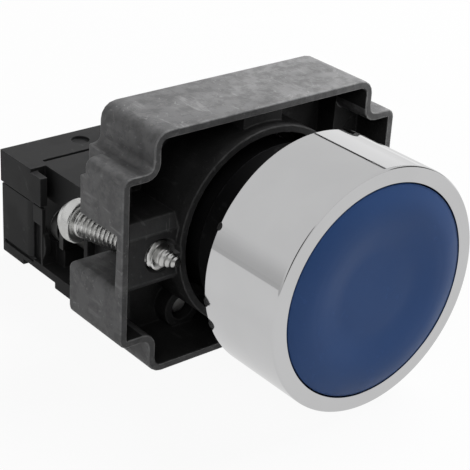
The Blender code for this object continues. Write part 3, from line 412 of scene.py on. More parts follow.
def fill_recess_shade(sheet: NodeSheet, given: bpy.types.Node, result: bpy.types.Node) -> None:
    """Painted shade in corners and deep recesses, darker where the piece closes in on the surface, with a
    ragged edge.

    Args:
        sheet: Nodes of the group.
        given: The group's inputs.
        result: The group's outputs.
    """
    settings = {"samples": CORNER_RAYS, "only_local": True}
    openness = sheet.node("ShaderNodeAmbientOcclusion", settings, Distance=given.outputs["Reach"])
    deep = sheet.remap(openness.outputs["AO"], *CORNER_RANGE, 1.0, 0.0)
    ragged = RAGGED_SHADE_EDGE.mask(sheet, sheet.place())
    sheet.feed(result.inputs["Mask"], sheet.math("MULTIPLY", deep, ragged))


GRAIN = Effect("grain", (("Scale", 4000.0),), ("Height", "Fleck"), fill_grain)
HANDLING = Effect("handling_marks", (("Scale", 150.0),), ("Smudge", "Scratch"), fill_handling)
WEAR = Effect("edge_wear", (("Scale", 700.0),), ("Mask",), fill_wear)
# Painted shade: corners and recesses of a piece turn towards near black
PAINTED_RECESS_SHADE = Effect("painted_recess_shade", (("Reach", 0.01),), ("Mask",), fill_recess_shade)


def scaled(colour: Colour, gain: float) -> Colour:
    """A colour made lighter or darker, at most white."""
    return tuple(min(1.0, gain * value) for value in colour)


def between(first: Colour, second: Colour, share: float) -> Colour:
    """A colour on the way from one to another."""
    return tuple(start + share * (end - start) for start, end in zip(first, second))


@dataclass(frozen=True)
class Finish:
    """What all finishes have: a name, a slot of the record and a base colour."""

    name: str
    slot: str
    colour: Colour
    roughness: float

    def material(self) -> bpy.types.Material:
        """Make the finish's material, or find it if it is made.

        Returns:
            The material.
        """
        known = bpy.data.materials.get(self.name)
        if known:
            return known
        made = bpy.data.materials.new(self.name)
        made.use_nodes = True
        self.fill(NodeSheet(made.node_tree), made.node_tree.nodes["Principled BSDF"])
        return made

    def fill(self, sheet: NodeSheet, shader: bpy.types.Node) -> None:
        """Add the finish's own nodes to the shader."""
        raise NotImplementedError

    def bump(self, sheet: NodeSheet, shader: bpy.types.Node, height: object, depth: float) -> None:
        """Raise the surface by a height from 0 to 1.

        Args:
            sheet: Nodes of the material.
            shader: The material's shader.
            height: The height's socket.
            depth: Height of a full step in metres.
        """
        made = sheet.node("ShaderNodeBump", Height=height, Distance=depth)
        sheet.feed(shader.inputs["Normal"], made.outputs["Normal"])

    def gloss(
        self, sheet: NodeSheet, shader: bpy.types.Node, mask: object, outside: float, inside: float
    ) -> None:
        """Let the roughness change a little with a mask.

        Args:
            sheet: Nodes of the material.
            shader: The material's shader.
            mask: The mask's socket.
            outside: What is added to the roughness where the mask is 0.
            inside: What is added to the roughness where the mask is 1.
        """
        rough = sheet.remap(mask, 0.0, 1.0, self.roughness + outside, self.roughness + inside)
        sheet.feed(shader.inputs["Roughness"], rough)


@dataclass(frozen=True)
class MouldedFinish(Finish):
    """Moulded plastic or rubber with a fine grain and rubbed edges."""

    rubbed: Colour = (0.1, 0.1, 0.1)
    grain: float = 5000.0
    grain_depth: float = 2e-6
    specular: float = 0.4
    mark_scale: float = 120.0
    wear_scale: float = 900.0
    # Reach of the painted shade in corners and recesses
    shade_reach: float = 0.008
    paleness: float = 0.22
    smudging: float = 0.5
    flecking: float = 0.35
    scratching: float = 0.35
    edge_wear: float = 0.55
    # Share of the painted shade in corners and recesses
    recess_shading: float = 0.6
    glossier: float = 0.05
    duller: float = 0.07

    def fill(self, sheet: NodeSheet, shader: bpy.types.Node) -> None:
        """Add grain, smudges, rubbed edges and painted shade in corners and recesses.

        Args:
            sheet: Nodes of the material.
            shader: The material's shader.
        """
        grain = GRAIN.put(sheet, Scale=self.grain).outputs
        marks = HANDLING.put(sheet, Scale=self.mark_scale).outputs
        wear = WEAR.put(sheet, Scale=self.wear_scale).outputs
        recess = PAINTED_RECESS_SHADE.put(sheet, Reach=self.shade_reach).outputs
        pale = between(self.colour, self.rubbed, self.paleness)
        tone = sheet.blend(marks["Smudge"], self.smudging, self.colour, pale)
        tone = sheet.blend(grain["Fleck"], self.flecking, tone, pale)
        tone = sheet.blend(marks["Scratch"], self.scratching, tone, self.rubbed)
        tone = sheet.blend(wear["Mask"], self.edge_wear, tone, self.rubbed)
        # Painted shade in corners and recesses
        tone = sheet.blend(recess["Mask"], self.recess_shading, tone, PAINTED_SHADE_COLOUR)
        sheet.feed(shader.inputs["Base Color"], tone)
        self.gloss(sheet, shader, marks["Smudge"], -self.glossier, self.duller)
        shader.inputs["Specular IOR Level"].default_value = self.specular
        self.bump(sheet, shader, grain["Height"], self.grain_depth)


@dataclass(frozen=True)
class CapFinish(Finish):
    """Coloured cap plastic, smooth and a little cloudy."""

    deep: Colour = (0.02, 0.04, 0.1)
    clouds: Clouds = Clouds(scale=110.0, detail=4.0, rough=0.55, low=0.3, high=0.7)
    clouding: float = 0.35
    mark_scale: float = 170.0
    scratching: float = 0.2
    scratch_gain: float = 1.35
    glossier: float = 0.04
    duller: float = 0.05
    specular: float = 0.15
    grain: float = 9000.0
    grain_depth: float = 8e-7

    def fill(self, sheet: NodeSheet, shader: bpy.types.Node) -> None:
        """Add clouding, faint scratches and a very fine grain.

        Args:
            sheet: Nodes of the material.
            shader: The material's shader.
        """
        marks = HANDLING.put(sheet, Scale=self.mark_scale).outputs
        grain = GRAIN.put(sheet, Scale=self.grain).outputs
        tone = sheet.blend(self.clouds.mask(sheet, sheet.place()), self.clouding, self.colour, self.deep)
        tone = sheet.blend(marks["Scratch"], self.scratching, tone, scaled(self.colour, self.scratch_gain))
        sheet.feed(shader.inputs["Base Color"], tone)
        self.gloss(sheet, shader, marks["Smudge"], -self.glossier, self.duller)
        shader.inputs["Specular IOR Level"].default_value = self.specular
        self.bump(sheet, shader, grain["Height"], self.grain_depth)


@dataclass(frozen=True)
class MetalFinish(Finish):
    """Plated or drawn metal with smudges, fine scratches and brighter edges."""

    dull: Colour = (0.4, 0.4, 0.4)
    dulling: float = 0.5
    spread: float = 0.12
    scratch_depth: float = 1e-6
    mark_scale: float = 160.0
    wear_scale: float = 1200.0
    edge_gain: float = 1.12
    edge_wear: float = 0.6

    def fill(self, sheet: NodeSheet, shader: bpy.types.Node) -> None:
        """Add dull patches, scratches and bright edges.

        Args:
            sheet: Nodes of the material.
            shader: The material's shader.
        """
        marks = HANDLING.put(sheet, Scale=self.mark_scale).outputs
        wear = WEAR.put(sheet, Scale=self.wear_scale).outputs
        tone = sheet.blend(marks["Smudge"], self.dulling, self.colour, self.dull)
        tone = sheet.blend(wear["Mask"], self.edge_wear, tone, scaled(self.colour, self.edge_gain))
        sheet.feed(shader.inputs["Base Color"], tone)
        smear = sheet.remap(marks["Smudge"], 0.0, 1.0, self.roughness, self.roughness + self.spread)
        scored = sheet.math("MULTIPLY", marks["Scratch"], self.spread)
        sheet.feed(shader.inputs["Roughness"], sheet.math("ADD", smear, scored))
        shader.inputs["Metallic"].default_value = 1.0
        self.bump(sheet, shader, marks["Scratch"], -self.scratch_depth)


@dataclass(frozen=True)
class CastFinish(Finish):
    """Tumbled die casting: cloudy grey with pits, rubs and pale worn edges."""

    dark: Colour = (0.05, 0.05, 0.05)
    worn: Colour = (0.4, 0.4, 0.4)
    # Colour of the painted shade inside the cup, also laid by a smaller share on the rim
    cup_shade_colour: Colour = (0.05, 0.05, 0.05)
    # The casting turns darker towards the left, between these two places along x
    darkening_right_end: float = 0.024
    darkening_left_end: float = -0.001
    darkening_drift: float = 0.03
    drift_scale: float = 110.0
    drift_detail: float = 3.0
    drift_rough: float = 0.55
    clouds: Clouds = Clouds(scale=200.0, detail=6.0, rough=0.62, low=0.38, high=0.62)
    blotches: Clouds = Clouds(scale=620.0, detail=6.0, rough=0.7, low=0.42, high=0.62)
    rub_streaks: Clouds = Clouds(scale=1100.0, detail=4.0, rough=0.6, low=0.5, high=0.72)
    rub_places: Clouds = Clouds(scale=240.0, detail=2.0, rough=0.5, low=0.45, high=0.62)
    rub_stretch: float = 0.16
    knocks: Clouds = Clouds(scale=1000.0, detail=2.0, rough=0.6, low=0.62, high=0.7)
    knock_places: Clouds = Clouds(scale=170.0, detail=2.0, rough=0.5, low=0.5, high=0.56)
    knock_turn: Triple = (0.6, 0.3, 0.9)
    knock_stretch: float = 0.22
    grain: float = 2600.0
    mark_scale: float = 260.0
    wear_scale: float = 850.0
    # Reach of the painted shade in corners and recesses
    shade_reach: float = 0.012
    left_darkening: float = 0.62
    clouding: float = 0.5
    blotching: float = 0.36
    blotch_gain: float = 0.4
    flecking: float = 0.3
    fleck_gain: float = 1.6
    rubbing: float = 0.3
    cup_shading: float = 0.9
    wear_shelter: float = 0.75
    scratching: float = 0.3
    edge_wear: float = 0.32
    # Share of the painted shade in corners and recesses
    recess_shading: float = 0.5
    glossier: float = 0.06
    duller: float = 0.07
    metallic: float = 0.15
    specular: float = 0.3
    blotch_height: float = 1.5
    grain_depth: float = 1.1e-5

    def fill(self, sheet: NodeSheet, shader: bpy.types.Node) -> None:
        """Add clouds, blotches, rubs, pits, worn edges, a darker tone to the left, painted shade inside the
        cup with a darker rim, and painted shade in corners.

        Args:
            sheet: Nodes of the material.
            shader: The material's shader.
        """
        place = sheet.place()
        clouds = self.clouds.mask(sheet, place)
        blotches = self.blotches.mask(sheet, place)
        grain = GRAIN.put(sheet, Scale=self.grain).outputs
        marks = HANDLING.put(sheet, Scale=self.mark_scale).outputs
        wear = WEAR.put(sheet, Scale=self.wear_scale).outputs
        recess = PAINTED_RECESS_SHADE.put(sheet, Reach=self.shade_reach).outputs
        inside = sheet.node("ShaderNodeAttribute", {"attribute_name": CUP_SHADE_AND_RIM_MASK}).outputs["Fac"]
        outside = sheet.math("SUBTRACT", 1.0, sheet.math("MULTIPLY", inside, self.wear_shelter))
        rubs = self.streaks(sheet, self.rub_streaks, self.rub_places, (0.0, 0.0, 0.0), self.rub_stretch)
        knocks = self.streaks(sheet, self.knocks, self.knock_places, self.knock_turn, self.knock_stretch)
        scratch = sheet.math("MULTIPLY", sheet.math("MAXIMUM", marks["Scratch"], knocks), outside)
        edge = sheet.math("MULTIPLY", wear["Mask"], outside)
        # Darker towards the left of the casting
        tone = sheet.blend(self.darker_left(sheet), self.left_darkening, self.colour, self.dark)
        tone = sheet.blend(clouds, self.clouding, tone, self.dark)
        tone = sheet.blend(blotches, self.blotching, tone, scaled(self.dark, self.blotch_gain))
        tone = sheet.blend(grain["Fleck"], self.flecking, tone, scaled(self.colour, self.fleck_gain))
        tone = sheet.blend(rubs, self.rubbing, tone, self.worn)
        # Painted shade inside the cup, and a smaller share of the same darkening on the rim's front faces
        tone = sheet.blend(inside, self.cup_shading, tone, self.cup_shade_colour)
        tone = sheet.blend(scratch, self.scratching, tone, self.worn)
        tone = sheet.blend(edge, self.edge_wear, tone, self.worn)
        # Painted shade in corners and recesses
        tone = sheet.blend(recess["Mask"], self.recess_shading, tone, PAINTED_SHADE_COLOUR)
        sheet.feed(shader.inputs["Base Color"], tone)
        self.gloss(sheet, shader, clouds, self.duller, -self.glossier)
        shader.inputs["Metallic"].default_value = self.metallic
        shader.inputs["Specular IOR Level"].default_value = self.specular
        pitted = sheet.math("MULTIPLY", blotches, self.blotch_height)
        self.bump(sheet, shader, sheet.math("ADD", grain["Height"], pitted), self.grain_depth)

    def darker_left(self, sheet: NodeSheet) -> bpy.types.NodeSocket:
        """Darker tone over the left of the casting, with a ragged end.

        Args:
            sheet: Nodes of the material.

        Returns:
            A mask from 0 to 1.
        """
        place = sheet.place()
        across = sheet.node("ShaderNodeSeparateXYZ", Vector=place).outputs["X"]
        noise = sheet.noise(place, self.drift_scale, self.drift_detail, self.drift_rough)
        ragged = sheet.math("ADD", across, sheet.math("MULTIPLY", noise, self.darkening_drift))
        return sheet.remap(ragged, self.darkening_left_end, self.darkening_right_end, 1.0, 0.0)

    def streaks(
        self, sheet: NodeSheet, lines: Clouds, places: Clouds, turn: Triple, stretch: float
    ) -> bpy.types.NodeSocket:
        """Pale streaks where the casting slid against others, or short knocks.

        Args:
            sheet: Nodes of the material.
            lines: The streaks.
            places: Where there are streaks.
            turn: Direction of the streaks, as angles about the axes.
            stretch: Scale along the streaks against that across them.

        Returns:
            A mask from 0 to 1.
        """
        place = sheet.place()
        drawn = sheet.node("ShaderNodeMapping", Vector=place, Rotation=turn, Scale=(1.0, stretch, 1.0))
        return sheet.math("MULTIPLY", lines.mask(sheet, drawn.outputs[0]), places.mask(sheet, place))


BRIGHT_PLATE = MetalFinish(
    name="bright_plate",
    slot="plated_ring",
    colour=(0.64, 0.64, 0.645),
    roughness=0.03,
    dull=(0.585, 0.585, 0.59),
    dulling=0.3,
    spread=0.03,
    scratch_depth=4e-7,
    mark_scale=130.0,
)
BLUE_CAP = CapFinish(
    name="blue_cap",
    slot="blue_plastic",
    colour=(0.0255, 0.0645, 0.182),
    roughness=0.4,
    deep=(0.0202, 0.052, 0.15),
)
# Black plastic, made darker than the plastic is to paint the shade that falls on the tube between the bezel
# and the base
SHADE_DARKENED_MOULDING = MouldedFinish(
    name="black_moulding_darkened_for_shade",
    slot="black_plastic",
    colour=(0.004, 0.004, 0.0042),
    roughness=0.5,
    rubbed=(0.022, 0.022, 0.023),
    grain=5200.0,
    grain_depth=2.5e-6,
    specular=0.1,
)
BLOCK_MOULDING = MouldedFinish(
    name="block_moulding",
    slot="black_plastic",
    colour=(0.016, 0.016, 0.0163),
    roughness=0.55,
    rubbed=(0.06, 0.06, 0.061),
    grain=4200.0,
    grain_depth=4e-6,
    specular=0.15,
)
GREEN_MOULDING = MouldedFinish(
    name="green_moulding",
    slot="green_plastic",
    colour=(0.025, 0.2, 0.07),
    roughness=0.42,
    rubbed=(0.12, 0.38, 0.2),
    grain=5200.0,
)
SOFT_RUBBER = MouldedFinish(
    name="soft_rubber",
    slot="rubber",
    colour=(0.017, 0.017, 0.017),
    roughness=0.72,
    rubbed=(0.05, 0.05, 0.05),
    grain=6500.0,
    grain_depth=5e-6,
    specular=0.25,
)
ZINC_CASTING = CastFinish(
    name="zinc_casting_tumbled",
    slot="zinc_casting",
    colour=(0.262, 0.262, 0.264),
    roughness=0.58,
    dark=(0.1, 0.1, 0.102),
    # Near black of the painted shade inside the cup
    cup_shade_colour=(0.015, 0.015, 0.0153),
)
ZINC_PLATE = MetalFinish(
    name="zinc_plate",
    slot="plated_steel",
    colour=(0.7, 0.7, 0.69),
    roughness=0.26,
    dull=(0.45, 0.45, 0.43),
    scratch_depth=1.5e-6,
    mark_scale=420.0,
)
# Plated steel made dark to paint the shade in the block's wire pockets, on the clamp plates and terminal
# screws
POCKET_SHADE_STEEL = MetalFinish(
    name="steel_darkened_for_pocket_shade",
    slot="plated_steel",
    colour=(0.07, 0.07, 0.069),
    roughness=0.42,
    dull=(0.04, 0.04, 0.039),
    scratch_depth=1.5e-6,
    mark_scale=420.0,
)
SPRING_WIRE = MetalFinish(
    name="spring_wire",
    slot="spring_steel",
    colour=(0.5, 0.5, 0.5),
    roughness=0.28,
    dull=(0.3, 0.29, 0.28),
    mark_scale=500.0,
)
CONTACT_BRASS = MetalFinish(
    name="contact_brass",
    slot="brass",
    colour=(0.62, 0.44, 0.18),
    roughness=0.26,
    dull=(0.4, 0.27, 0.11),
    spread=0.14,
    mark_scale=300.0,
)


def new_piece(name: str, mesh: bpy.types.Mesh) -> bpy.types.Object:
    """Put a mesh in the scene as a piece.

    Args:
        name: Name of the piece.
        mesh: Its shape.

    Returns:
        The piece.
    """
    piece = bpy.data.objects.new(name, mesh)
    bpy.context.scene.collection.objects.link(piece)
    return piece


def closed_piece(name: str, shape: bmesh.types.BMesh) -> bpy.types.Object:
    """Turn a closed shape into a piece whose faces point out.

    Args:
        name: Name of the piece.
        shape: Its shape, which is used up.

    Returns:
        The piece.
    """
    bmesh.ops.recalc_face_normals(shape, faces=shape.faces)
    mesh = bpy.data.meshes.new(name)
    shape.to_mesh(mesh)
    shape.free()
    return new_piece(name, mesh)


def add_ring(shape: bmesh.types.BMesh, depth: float, radii: Sequence[float]) -> Ring:
    """Add a ring of points about the Y axis.

    Args:
        shape: The mesh that is filled.
        depth: Place along the axis.
        radii: Radius at each step round the axis.

    Returns:
        The points of the ring.
    """
    points = []
    for step, radius in enumerate(radii):
        angle = 2.0 * math.pi * step / len(radii)
        points.append(shape.verts.new((radius * math.cos(angle), depth, radius * math.sin(angle))))
    return points


def span_rings(shape: bmesh.types.BMesh, rings: Sequence[Ring]) -> None:
    """Span faces between each ring of points and the next.

    Args:
        shape: The mesh that is filled.
        rings: Rings with the same number of points. A ring on the axis repeats one point.
    """
    for first, second in zip(rings, rings[1:]):
        for step in range(len(first)):
            after = (step + 1) % len(first)
            corners = dict.fromkeys((first[step], first[after], second[after], second[step]))
            if len(corners) > 2:
                shape.faces.new(list(corners))


def capped_tube(name: str, shape: bmesh.types.BMesh, rings: Sequence[Ring]) -> bpy.types.Object:
    """Make a piece from rings of points, with a face at each end.

    Args:
        name: Name of the piece.
        shape: The mesh that holds the rings, which is used up.
        rings: The rings from one end to the other.

    Returns:
        The piece.
    """
    span_rings(shape, rings)
    for ring in (rings[0], rings[-1]):
        shape.faces.new(ring)
    return closed_piece(name, shape)


def settle(piece: bpy.types.Object) -> None:
    """Apply a piece's modifiers and smooth its faces.

    Args:
        piece: The piece to settle.
    """
    bpy.context.view_layer.update()
    depsgraph = bpy.context.evaluated_depsgraph_get()
    finished = bpy.data.meshes.new_from_object(piece.evaluated_get(depsgraph))
    piece.modifiers.clear()
    old = piece.data
    piece.data = finished
    bpy.data.meshes.remove(old)
    smooth(finished)


def smooth(mesh: bpy.types.Mesh) -> None:
    """Smooth all but sharp edges, so that flats stay flat and roundings run out into them.

    Args:
        mesh: The mesh to smooth.
    """
    mesh.shade_smooth()
    shape = bmesh.new()
    shape.from_mesh(mesh)
    flats = find_flats(shape)
    limit = math.cos(SMOOTH_ANGLE)
    normals = []
    for face in shape.faces:
        for loop in face.loops:
            near = {
                flats[other.index]
                for other in loop.vert.link_faces
                if other.normal.dot(face.normal) > limit
            }
            total = Vector()
            for flat in near:
                total += Vector(flat[:3]) * flat[3] ** AREA_POWER
            normals.append(total.normalized())
    shape.free()
    mesh.normals_split_custom_set(normals)


def find_flats(shape: bmesh.types.BMesh) -> dict[int, Flat]:
    """Find the flats of a mesh.

    Args:
        shape: The mesh.

    Returns:
        By each face's index, the normal of its flat and the flat's area in square millimetres.
    """
    limit = math.cos(FLAT_ANGLE)
    flats: dict[int, Flat] = {}
    for start in shape.faces:
        if start.index in flats:
            continue
        patch = {start: None}
        queue = [start]
        for face in queue:
            for edge in face.edges:
                for other in edge.link_faces:
                    if other not in patch and other.normal.dot(start.normal) > limit:
                        patch[other] = None
                        queue.append(other)
        area = sum(face.calc_area() for face in patch) * MILLIMETRES**2
        for face in patch:
            flats[face.index] = (*start.normal, area)
    return flats


def softened_copy(node: str, width: float, segments: int) -> bpy.types.Object:
    """Copy a CAD node and round its edges.

    Args:
        node: Name of the CAD node.
        width: Width of the rounding in metres.
        segments: Number of faces across the rounding.

    Returns:
        A new piece whose rounded edges carry the edge mask.
    """
    shape = bmesh.new()
    shape.from_mesh(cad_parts[node].data)
    bmesh.ops.remove_doubles(shape, verts=shape.verts, dist=WELD_DISTANCE)
    bmesh.ops.dissolve_limit(shape, angle_limit=FLAT_ANGLE, verts=shape.verts, edges=shape.edges)
    bmesh.ops.connect_verts_concave(shape, faces=shape.faces)
    for face in shape.faces:
        face.material_index = 0
    mesh = bpy.data.meshes.new(node + "_shape")
    shape.to_mesh(mesh)
    shape.free()
    mesh.materials.clear()
    for _ in range(2):
        mesh.materials.append(None)
    piece = new_piece(node + "_piece", mesh)
    bevel = piece.modifiers.new("rounding", "BEVEL")
    bevel.width = width
    bevel.segments = segments
    bevel.limit_method = "ANGLE"
    bevel.angle_limit = BEVEL_ANGLE
    bevel.use_clamp_overlap = False
    bevel.material = 1
    settle(piece)
    mark_edges(piece.data)
    return piece


def mark_edges(mesh: bpy.types.Mesh) -> None:
    """Turn the second material's faces into an edge mask.

    Args:
        mesh: Mesh whose rounded faces have the second material.
    """
    mask = mesh.attributes.new(EDGE_MASK, "FLOAT", "CORNER")
    for face in mesh.polygons:
        value = float(face.material_index)
        for loop in face.loop_indices:
            mask.data[loop].value = value
        face.material_index = 0
    mesh.materials.clear()


def rounded_profile(corners: Sequence[Corner], steps: int = 4) -> Profile:
    """Round the corners of a profile.

    Args:
        corners: Radius, depth and rounding at each corner, end points included.
        steps: Number of segments in each rounding.

    Returns:
        Points of radius and depth.
    """
    points: Profile = []
    last = len(corners) - 1
    for index, (radius, depth, rounding) in enumerate(corners):
        here = Vector((radius, depth))
        if rounding <= 0.0 or index in (0, last):
            points.append((radius, depth))
            continue
        before = (Vector(corners[index - 1][:2]) - here).normalized()
        after = (Vector(corners[index + 1][:2]) - here).normalized()
        start = here + before * rounding
        end = here + after * rounding
        for step in range(steps + 1):
            share = step / steps
            bent = start.lerp(here, share).lerp(here.lerp(end, share), share)
            points.append((bent.x, bent.y))
    return points


def lathe(name: str, profile: Profile, steps: int, closed: bool = False) -> bpy.types.Object:
    """Turn a profile about the Y axis.

    Args:
        name: Name of the piece.
        profile: Points of radius and depth.
        steps: Number of faces round the axis.
        closed: Whether the last point joins the first.

    Returns:
        The turned piece.
    """
    shape = bmesh.new()
    rings: list[Ring] = []
    for radius, depth in profile:
        if radius < WELD_DISTANCE:
            rings.append([shape.verts.new((0.0, depth, 0.0))] * steps)
        else:
            rings.append(add_ring(shape, depth, [radius] * steps))
    span_rings(shape, rings + rings[:1] if closed else rings)
    return closed_piece(name, shape)


def block(name: str, low: Sequence[float], high: Sequence[float]) -> bpy.types.Object:
    """A block between two corners, used to cut.

    Args:
        name: Name of the block.
        low: Lowest corner.
        high: Highest corner.

    Returns:
        The block.
    """
    shape = bmesh.new()
    bmesh.ops.create_cube(shape, size=1.0)
    bmesh.ops.scale(shape, vec=Vector(high) - Vector(low), verts=shape.verts)
    bmesh.ops.translate(shape, vec=(Vector(high) + Vector(low)) / 2, verts=shape.verts)
    return closed_piece(name, shape)


def cut_away(piece: bpy.types.Object, cutters: Sequence[bpy.types.Object]) -> None:
    """Cut shapes out of a piece and settle it.

    Args:
        piece: The piece that is cut.
        cutters: The shapes, which are used up.
    """
    for cutter in cutters:
        modifier = piece.modifiers.new(cutter.name, "BOOLEAN")
        modifier.operation = "DIFFERENCE"
        modifier.solver = "EXACT"
        modifier.object = cutter
    settle(piece)
    for cutter in cutters:
        bpy.data.objects.remove(cutter, do_unlink=True)


def install(piece: bpy.types.Object, node: str, finish: Finish, body: Body) -> None:
    """Dress a new piece that stands for a CAD node.

    Args:
        piece: The new piece.
        node: The CAD node that it replaces.
        finish: Its finish.
        body: The body that it rides on.
    """
    piece.data.materials.clear()
    piece.data.materials.append(finish.material())
    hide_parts(node)
    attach(piece, body.value)
    LOG.info("%s stands for %s on %s", piece.name, node, body.value)


def soften(node: str, rounding: float, finish: Finish, body: Body, segments: int = 2) -> bpy.types.Mesh:
    """Put a rounded and dressed copy in the place of a CAD node.

    Args:
        node: Name of the CAD node.
        rounding: Width of its rounded edges.
        finish: Its finish.
        body: The body that it rides on.
        segments: Number of faces across the rounding.

    Returns:
        The mesh of the copy.
    """
    piece = softened_copy(node, rounding, segments)
    install(piece, node, finish, body)
    return piece.data


def dress_node(node: str, finish: Finish) -> None:
    """Give a CAD node that keeps its shape a finish.

    Args:
        node: Name of the CAD node.
        finish: Its finish.
    """
    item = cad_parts[node]
    item.data.materials.clear()
    item.data.materials.append(finish.material())
    LOG.info("%s keeps its shape", node)


@dataclass
class Screw:
    """A threaded screw with a turned head and a recess, drawn along Y with its seat at zero."""

    radius: float
    length: float
    head_radius: float
    head_height: float
    head_side: float
    head_flat: float
    pitch: float
    thread_depth: float
    thread_length: float
    drive: Drive
    point_radius: float
    tip_radius: float
    point_length: float = 0.0004
    recess_width: float = 0.0007
    recess_depth: float = 0.0009
    shoulder_share: float = 0.35
    crest_slope: float = 1.25
    steps: int = 28
    rows_per_turn: int = 8

    def envelope(self, depth: float) -> float:
        """Outer radius of the shank at a distance from the seat.

        Args:
            depth: Distance from the seat towards the tip.

        Returns:
            The radius of the thread's crest.
        """
        taper = (depth - self.length + self.point_length) / self.point_length
        if taper <= 0.0:
            return self.radius
        return self.point_radius + (self.tip_radius - self.point_radius) * taper

    def crest(self, depth: float, turn: float) -> float:
        """Height of the thread from root to crest at a point of the shank.

        Args:
            depth: Distance from the seat towards the tip.
            turn: Angle round the axis as a share of a turn.

        Returns:
            A value from 0 at the root to 1 at the crest.
        """
        phase = (depth / self.pitch + turn) % 1.0
        return 1.0 - min(1.0, abs(2.0 * phase - 1.0) * self.crest_slope)

    def shank_radius(self, depth: float, turn: float) -> float:
        """Radius of the shank at a point, thread included.

        Args:
            depth: Distance from the seat towards the tip.
            turn: Angle round the axis as a share of a turn.

        Returns:
            The radius.
        """
        outer = self.envelope(depth)
        start = self.length - self.thread_length
        run_in = min(1.0, max(0.0, (depth - start) / self.pitch))
        fall = self.thread_depth * outer / self.radius
        return outer - fall * run_in * (1.0 - self.crest(depth, turn))

    def head_profile(self) -> Profile:
        """Profile of the head from its underside to the middle of its top.

        Returns:
            Points of radius and depth.
        """
        chamfer = math.hypot(self.head_radius - self.head_flat, self.head_height - self.head_side)
        shoulder = self.shoulder_share * min(self.head_side, chamfer)
        return rounded_profile(
            [
                (self.radius, 0.0, 0.0),
                (self.head_radius, 0.0, shoulder),
                (self.head_radius, self.head_side, shoulder),
                (self.head_flat, self.head_height, shoulder),
                (0.0, self.head_height, 0.0),
            ]
        )

    def build(self, name: str) -> bpy.types.Object:
        """Make the screw at the origin.

        Args:
            name: Name of the piece.

        Returns:
            The screw, its head towards +Y.
        """
        shape = bmesh.new()
        rings: list[Ring] = []
        rows = max(2, round(self.length / self.pitch * self.rows_per_turn))
        for row in range(rows + 1):
            depth = self.length * (1.0 - row / rows)
            radii = [self.shank_radius(depth, step / self.steps) for step in range(self.steps)]
            rings.append(add_ring(shape, -depth, radii))
        for radius, height in self.head_profile()[1:-1]:
            rings.append(add_ring(shape, height, [radius] * self.steps))
        piece = capped_tube(name, shape, rings)
        cut_away(piece, self.recess_cutters())
        return piece

    def recess_cutters(self) -> list[bpy.types.Object]:
        """Blocks that cut the recess from the head.

        Returns:
            One block for each slot of the recess.
        """
        turns, share = self.drive.value
        reach = share * self.head_radius
        half = self.recess_width / 2
        cutters = []
        for turn in turns:
            cutter = block(
                "recess",
                (-reach, self.head_height - self.recess_depth, -half),
                (reach, self.head_height + self.recess_depth, half),
            )
            cutter.rotation_euler = (0.0, math.radians(turn), 0.0)
            cutters.append(cutter)
        return cutters


@dataclass
class Spring:
    """A coil spring along Y with closed ends."""

    wire: float
    radius: float
    turns: float
    front: float
    back: float
    height: float = 0.0
    dead_turns: float = 0.9
    coil_steps: int = 30
    wire_steps: int = 10

    def rise(self, turn: float) -> float:
        """Place of the wire's middle between the ends, after a number of turns.

        Args:
            turn: Turns from the front end.

        Returns:
            A depth along Y.
        """
        free = self.turns - 2.0 * self.dead_turns
        low = self.front + self.wire / 2
        high = self.back - self.wire / 2
        closed_turns = min(turn, self.dead_turns) + max(0.0, turn - self.turns + self.dead_turns)
        share = min(1.0, max(0.0, (turn - self.dead_turns) / free))
        open_length = high - low - 2.0 * self.wire * self.dead_turns
        return low + self.wire * closed_turns + share * open_length

    def build(self, name: str) -> bpy.types.Object:
        """Make the spring.

        Args:
            name: Name of the piece.

        Returns:
            The coil as one closed tube.
        """
        shape = bmesh.new()
        count = round(self.turns * self.coil_steps)
        rings = []
        for step in range(count + 1):
            turn = self.turns * step / count
            angle = 2.0 * math.pi * turn
            outward = Vector((math.cos(angle), 0.0, math.sin(angle)))
            middle = outward * self.radius + Vector((0.0, self.rise(turn), self.height))
            ring = []
            for side in range(self.wire_steps):
                around = 2.0 * math.pi * side / self.wire_steps
                offset = outward * math.cos(around) + Vector((0.0, math.sin(around), 0.0))
                ring.append(shape.verts.new(middle + offset * self.wire / 2))
            rings.append(ring)
        piece = capped_tube(name, shape, rings)
        settle(piece)
        return piece

    def fit(self, node: str, name: str, body: Body, joint: str, travel: float, held: End) -> None:
        """Make the spring and put it in a node's place.

        Args:
            node: The CAD node that it replaces.
            name: Name of the piece.
            body: The body that it rides on.
            joint: Not used.
            travel: Not used.
            held: Not used.
        """
        piece = self.build(name)
        install(piece, node, SPRING_WIRE, body)
        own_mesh(piece)


